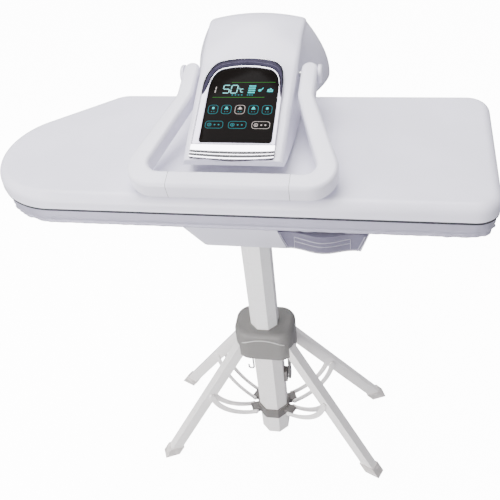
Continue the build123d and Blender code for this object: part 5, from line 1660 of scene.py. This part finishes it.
@dataclass
class WaterTank:
    """The smoked tank that pulls out: a clear drawer with a bowed front, its lid and its flap."""

    wall: float = 2.5
    half: float = 87.0
    lean: float = 0.375
    case_top: float = -78.1
    reach: float = 24.0
    bow: float = 13.0
    bow_half: float = 64.0
    lip: tuple[float, float, float] = (1.6, 8.0, 5.0)
    foot: Pairs = ((0.0, 1.2), (0.4, 0.4), (1.2, 0.0))
    side_rows: tuple[float, float, int] = (6.0, 0.6, 8)
    rim: tuple[float, float] = (0.5, 0.4)
    rim_height: float = 0.6
    finger_ribs: Pairs = ((-3.0, -9.0), (-2.0, -20.0))
    rib_radii: tuple[float, float, float] = (1.0, 0.8, 1.2)
    rib_span: float = 0.84
    grip_ends: tuple[float, float] = (3.0, 10.0)
    edge_ends: tuple[float, float] = (1.5, 1.0)
    edge_inset: float = 3.0
    sunk: float = 0.2
    lid_round: float = 0.6
    hole: float = 8.5

    def __post_init__(self) -> None:
        """Read the tank's place from its node."""
        low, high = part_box("water_tank")
        self.middle = (low.x + high.x) * 500
        self.front = low.y * 1000 + DECK.setback + self.reach
        self.back = high.y * 1000 + DECK.setback
        self.floor = low.z * 1000 - DECK.level
        self.top = high.z * 1000 - DECK.level

    def side(self, level: float | np.ndarray) -> float | np.ndarray:
        """Half the tank's width at a level; it leans in towards the floor."""
        return self.half - self.lean * (self.case_top - level)

    def face(self, x: np.ndarray) -> np.ndarray:
        """The front's line from above.

        Args:
            x: Places across the tank.

        Returns:
            The y there: front - bow * (1 + cos(pi s)) / 2, with s from -1 to 1 across the bow, less
            a small lip at each end.
        """
        away = np.abs(x - self.middle)
        swell = (1 + np.cos(pi * np.clip(away / self.bow_half, 0, 1))) / 2
        out, place, width = self.lip
        lip = out * np.exp(-(((away - self.half + place) / width) ** 2))
        return self.front - self.bow * swell - lip

    def ring(self, level: float, inset: float) -> np.ndarray:
        """The tank's outline at a level.

        Args:
            level: The level.
            inset: How far inside the outline the ring lies.

        Returns:
            Points of the front, the right side, the back and the left side.
        """
        half, back = self.side(level) - inset, self.back - inset
        x = self.middle + np.linspace(-half, half, 101)
        front = joined(x, self.face(x) + inset)
        stops = np.array([front[-1], (x[-1], back), (x[0], back), front[0]])
        t = np.linspace(0, 1, 25)[1:-1, None]
        right, rear, left = (a + (b - a) * t for a, b in zip(stops, stops[1:]))
        ring = np.concatenate([front, right, stops[1:2], rear, stops[2:3], left])
        return at_level(ring, level)

    def build(self) -> None:
        """Make the drawer, its lid and ribs, and dress the flap and the valve."""
        low, high, wall = self.floor, self.top, self.wall
        first, last, count = self.side_rows
        rows = [(low + up, inset) for up, inset in self.foot]
        rows += [(z, 0.0) for z in np.linspace(low + first, high - last, count)]
        rows += [(high, self.rim[0]), (high, wall - self.rim[1])]
        rows += [(high - self.rim_height, wall), (low + wall, wall)]
        shell = DECK.world(np.stack([self.ring(level, inset) for level, inset in rows]))
        grid_piece("clear_tank", shell, Finish.TANK, "tank", ["water_tank"], 30)
        self.build_lid()
        refined("tank_flap", Finish.TANK, 0.0004, 30)
        refined("tank_valve", Finish.BRASS, 0.0003, 30)
        self.build_ribs()

    def build_ribs(self) -> None:
        """Two bowed ribs under the fingers, two upright ones beside them and two at the edges."""
        # All six are drawn lighter than the tank: painted highlight lines on real moulded ribs and
        # edges.
        finger, grip, edge = self.rib_radii
        span = self.bow_half * self.rib_span
        s = np.linspace(-1, 1, 60)
        for number, (rise, base) in enumerate(self.finger_ribs, 1):
            z = self.top + base + rise * (1 - s**2)
            self.rib(f"finger_rib_{number}", self.middle + s * span, z, finger)
        z = np.linspace(self.floor + self.grip_ends[0], self.top - self.grip_ends[1], 16)
        self.rib("grip_rib_left", self.middle - span, z, grip)
        self.rib("grip_rib_right", self.middle + span, z, grip)
        z = np.linspace(self.floor + self.edge_ends[0], self.top - self.edge_ends[1], 24)
        half = self.side(z) - self.edge_inset
        self.rib("tank_edge_left", self.middle - half, z, edge)
        self.rib("tank_edge_right", self.middle + half, z, edge)

    def rib(self, name: str, x: float | np.ndarray, z: np.ndarray, radius: float) -> None:
        """A moulded rib on the front's face, through x and z, drawn lighter as a painted highlight.
        """
        tube = swept_tube(joined(x, self.face(x) - self.sunk, z), radius)
        grid_piece(name, DECK.world(tube), Finish.RIB_HIGHLIGHT, "tank")

    def build_lid(self) -> None:
        """The lid with its filling hole: rows from its outline to the hole's circle."""
        low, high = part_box("tank_lid")
        flap_low, flap_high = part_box("tank_flap")
        middle = (flap_low + flap_high) * 500
        hole = np.array([middle.x, middle.y + DECK.setback])
        top, base = high.z * 1000 - DECK.level, low.z * 1000 - DECK.level
        edge, rim = self.ring(top, 0.0)[:, :2], self.ring(top, self.lid_round)[:, :2]
        bore = hole + self.hole * unit(np.unwrap(np.arctan2(*(edge - hole).T[::-1])))
        side = top - self.lid_round
        rows = ((edge, base), (edge, side), (rim, top), (bore, top), (bore, base))
        lid = DECK.world(np.stack([at_level(flat, level) for flat, level in rows]))
        grid_piece("clear_lid", lid, Finish.TANK, "tank", ["tank_lid"], 30, Grid.RING)


@dataclass
class Stand:
    """The column with its hub, legs, struts, collar, crank and transport hook."""

    corners: tuple[str, ...] = ("front_left", "front_right", "back_left", "back_right")
    hub_round: float = 42.0
    arch_half: float = 56.0
    arch_rise: float = 17.0
    arch_drop: float = 20.0
    arch_radius: float = 1.7
    sunk: float = 0.2

    def build_arches(self) -> None:
        """A raised arch on the front and the back of the hub.

        Its z is top - drop - rise s^2, with s from -1 to 1, and its y is the wall's: straight, then
        the quarter circles of the corners.
        """
        low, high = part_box("hub")
        middle, half = (low + high) * 500, (high - low) * 500
        s = np.linspace(-1, 1, 81)
        x = s * self.arch_half
        past = np.clip(np.abs(x) - (half.x - self.hub_round), 0, self.hub_round)
        y = half.y - self.hub_round + np.sqrt(self.hub_round**2 - past**2) - self.sunk
        z = high.z * 1000 - self.arch_drop - self.arch_rise * s**2
        for name, side in (("hub_arch_front", -1), ("hub_arch_back", 1)):
            path = joined(x + middle.x, side * y + middle.y, z)
            tube = swept_tube(path, self.arch_radius, 10) / 1000
            grid_piece(name, tube, Finish.ARCH, "stand")

    def build(self) -> None:
        """Dress every node of the stand and make the hub's arches."""
        self.build_arches()
        for node, finish, edge in (
            ("outer_tube", Finish.TUBE, 0.0012),
            ("inner_tube", Finish.TUBE_INNER, 0.0012),
            ("hub", Finish.HUB, 0.0012),
            ("hub_pins", Finish.PIN, 0.0004),
            ("collar", Finish.BRACKET, 0.0008),
            ("crank_block", Finish.BRACKET, 0.0008),
            ("crank_arm", Finish.CRANK, 0.0006),
            ("crank_shaft", Finish.PIN, 0.0),
            ("crank_knob", Finish.CRANK, 0.0),
            ("rack", Finish.STEEL, 0.0),
            ("upper_guide", Finish.GUIDE, 0.0004),
            ("lower_guide", Finish.GUIDE, 0.0004),
            ("transport_hook", Finish.STEEL, 0.0),
        ):
            refined(node, finish, edge)
        for corner in self.corners:
            refined(f"leg_{corner}", Finish.TUBE, 0.0014)
            refined(f"foot_{corner}", Finish.BOOT, 0.0012)
            refined(f"strut_{corner}", Finish.TUBE, 0.0004)


# Camera and light


@dataclass(frozen=True)
class SoftLight:
    """A square soft light: its place and side in metres, its power in watts and its colour."""

    name: str
    place: tuple[float, float, float]
    size: float
    power: float
    colour: Colour

    def build(self, aim: Vector) -> None:
        """Make the light and turn it towards a point.

        Args:
            aim: The point, in metres.
        """
        data = bpy.data.lights.new(self.name, "AREA")
        data.size, data.energy, data.color = self.size, self.power, self.colour
        light = bpy.data.objects.new(self.name, data)
        bpy.context.scene.collection.objects.link(light)
        light.location = self.place
        light.rotation_euler = (aim - light.location).to_track_quat("-Z", "Y").to_euler()


@dataclass
class Studio:
    """Camera, floor, sky and soft lights."""

    azimuth: float = 14.0
    elevation: float = 42.5
    roll: float = -7.1
    focal: float = 722.2
    target: tuple[float, float] = (-5.5, -302.6)
    distance: float = 1681.9
    frame_px: float = 500.0
    sensor: float = 36.0
    floor_size: float = 60.0
    white_light: float = 12.0
    sky_light: float = 0.95
    sky_dim: Colour = (0.60, 0.60, 0.66)
    sky_even: float = 0.6
    brightest: tuple[float, float, float] = (-0.52, -0.22, 0.82)
    aim: tuple[float, float, float] = (0.0, 0.0, 0.85)
    lights: tuple[SoftLight, ...] = (
        SoftLight("key", (-2.2, -2.6, 2.2), 2.0, 100, (1.0, 0.99, 1.0)),
        SoftLight("top", (-0.45, 0.45, 3.6), 2.2, 170, (0.985, 0.98, 1.0)),
        SoftLight("low", (-1.2, -3.2, 0.35), 2.0, 150, (1.0, 0.99, 0.985)),
    )

    def build(self) -> None:
        """Set the camera, the floor, the sky and the lights."""
        self.build_camera()
        self.build_floor()
        self.build_world()
        for light in self.lights:
            light.build(Vector(self.aim))

    def build_camera(self) -> None:
        """Aim the camera: back = (sin a cos e, -cos a cos e, sin e), then roll about it."""
        a, e, r = radians(self.azimuth), radians(self.elevation), radians(self.roll)
        back = Vector((sin(a) * cos(e), -cos(a) * cos(e), sin(e)))
        right = Vector((cos(a), sin(a), 0))
        up = back.cross(right)
        right, up = right * cos(r) + up * sin(r), up * cos(r) - right * sin(r)
        data = bpy.data.cameras.new("camera")
        data.sensor_width = self.sensor
        data.lens = self.focal / self.frame_px * self.sensor
        data.clip_start, data.clip_end = 0.05, 60
        camera = bpy.data.objects.new("camera", data)
        bpy.context.scene.collection.objects.link(camera)
        aim = Vector(DECK.world([[self.target[0], 0.0, self.target[1]]])[0])
        place = aim + back * (self.distance / 1000)
        turn = Matrix((right, up, back)).transposed().to_4x4()
        camera.matrix_world = Matrix.Translation(place) @ turn
        bpy.context.scene.camera = camera

    def build_floor(self) -> None:
        """A white floor that glows by itself, so that it shows no edge against the backdrop."""
        mesh = bpy.data.meshes.new("floor")
        corners = np.array([[-1, -1], [1, -1], [1, 1], [-1, 1]]) * self.floor_size / 2
        mesh.from_pydata(at_level(corners, 0.0), [], [(0, 1, 2, 3)])
        shade = Shade("floor_white")
        shade.set(
            Base_Color=(0.93, 0.93, 0.93),
            Roughness=0.9,
            Emission_Color=(1.0, 1.0, 1.0),
            Emission_Strength=self.white_light,
        )
        mesh.materials.append(shade.material)
        floor = bpy.data.objects.new("floor", mesh)
        floor.visible_diffuse = floor.visible_glossy = False
        bpy.context.scene.collection.objects.link(floor)

    def build_world(self) -> None:
        """A sky that lights the press, brightest towards one side, behind a white backdrop.

        The camera sees only the backdrop. The sky's colour rises from dim to white with the dot
        product of its direction and the brightest one.
        """
        world = bpy.data.worlds.new("studio")
        world.use_nodes = True
        tree = world.node_tree
        sky = tree.nodes["Background"]
        place, along, ramp, backdrop, seen, either = (
            tree.nodes.new(f"ShaderNode{kind}")
            for kind in (
                "TexCoord", "VectorMath", "ValToRGB", "Background", "LightPath", "MixShader",
            )
        )
        along.operation = "DOT_PRODUCT"
        along.inputs[1].default_value = self.brightest
        dim, white = ramp.color_ramp.elements
        dim.position, dim.color = 0.0, (*self.sky_dim, 1.0)
        white.position, white.color = self.sky_even, (1.0, 1.0, 1.0, 1.0)
        sky.inputs["Strength"].default_value = self.sky_light
        backdrop.inputs["Color"].default_value = (1.0, 1.0, 1.0, 1.0)
        backdrop.inputs["Strength"].default_value = self.white_light
        for source, target in (
            (place.outputs["Generated"], along.inputs[0]),
            (along.outputs["Value"], ramp.inputs[0]),
            (ramp.outputs[0], sky.inputs["Color"]),
            (seen.outputs["Is Camera Ray"], either.inputs[0]),
            (sky.outputs[0], either.inputs[1]),
            (backdrop.outputs[0], either.inputs[2]),
            (either.outputs[0], tree.nodes["World Output"].inputs["Surface"]),
        ):
            tree.links.new(source, target)
        bpy.context.scene.world = world


def main() -> None:
    """Build the press piece by piece, then the studio."""
    logging.basicConfig(level=logging.INFO, format="%(message)s")
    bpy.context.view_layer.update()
    display = Display()
    UpperPlate().build()
    IroningBoard().build()
    HeadCover().build(display)
    display.build()
    Handle().build()
    BaseCase().build()
    WaterTank().build()
    Stand().build()
    Studio().build()


if __name__ == "__main__":
    main()
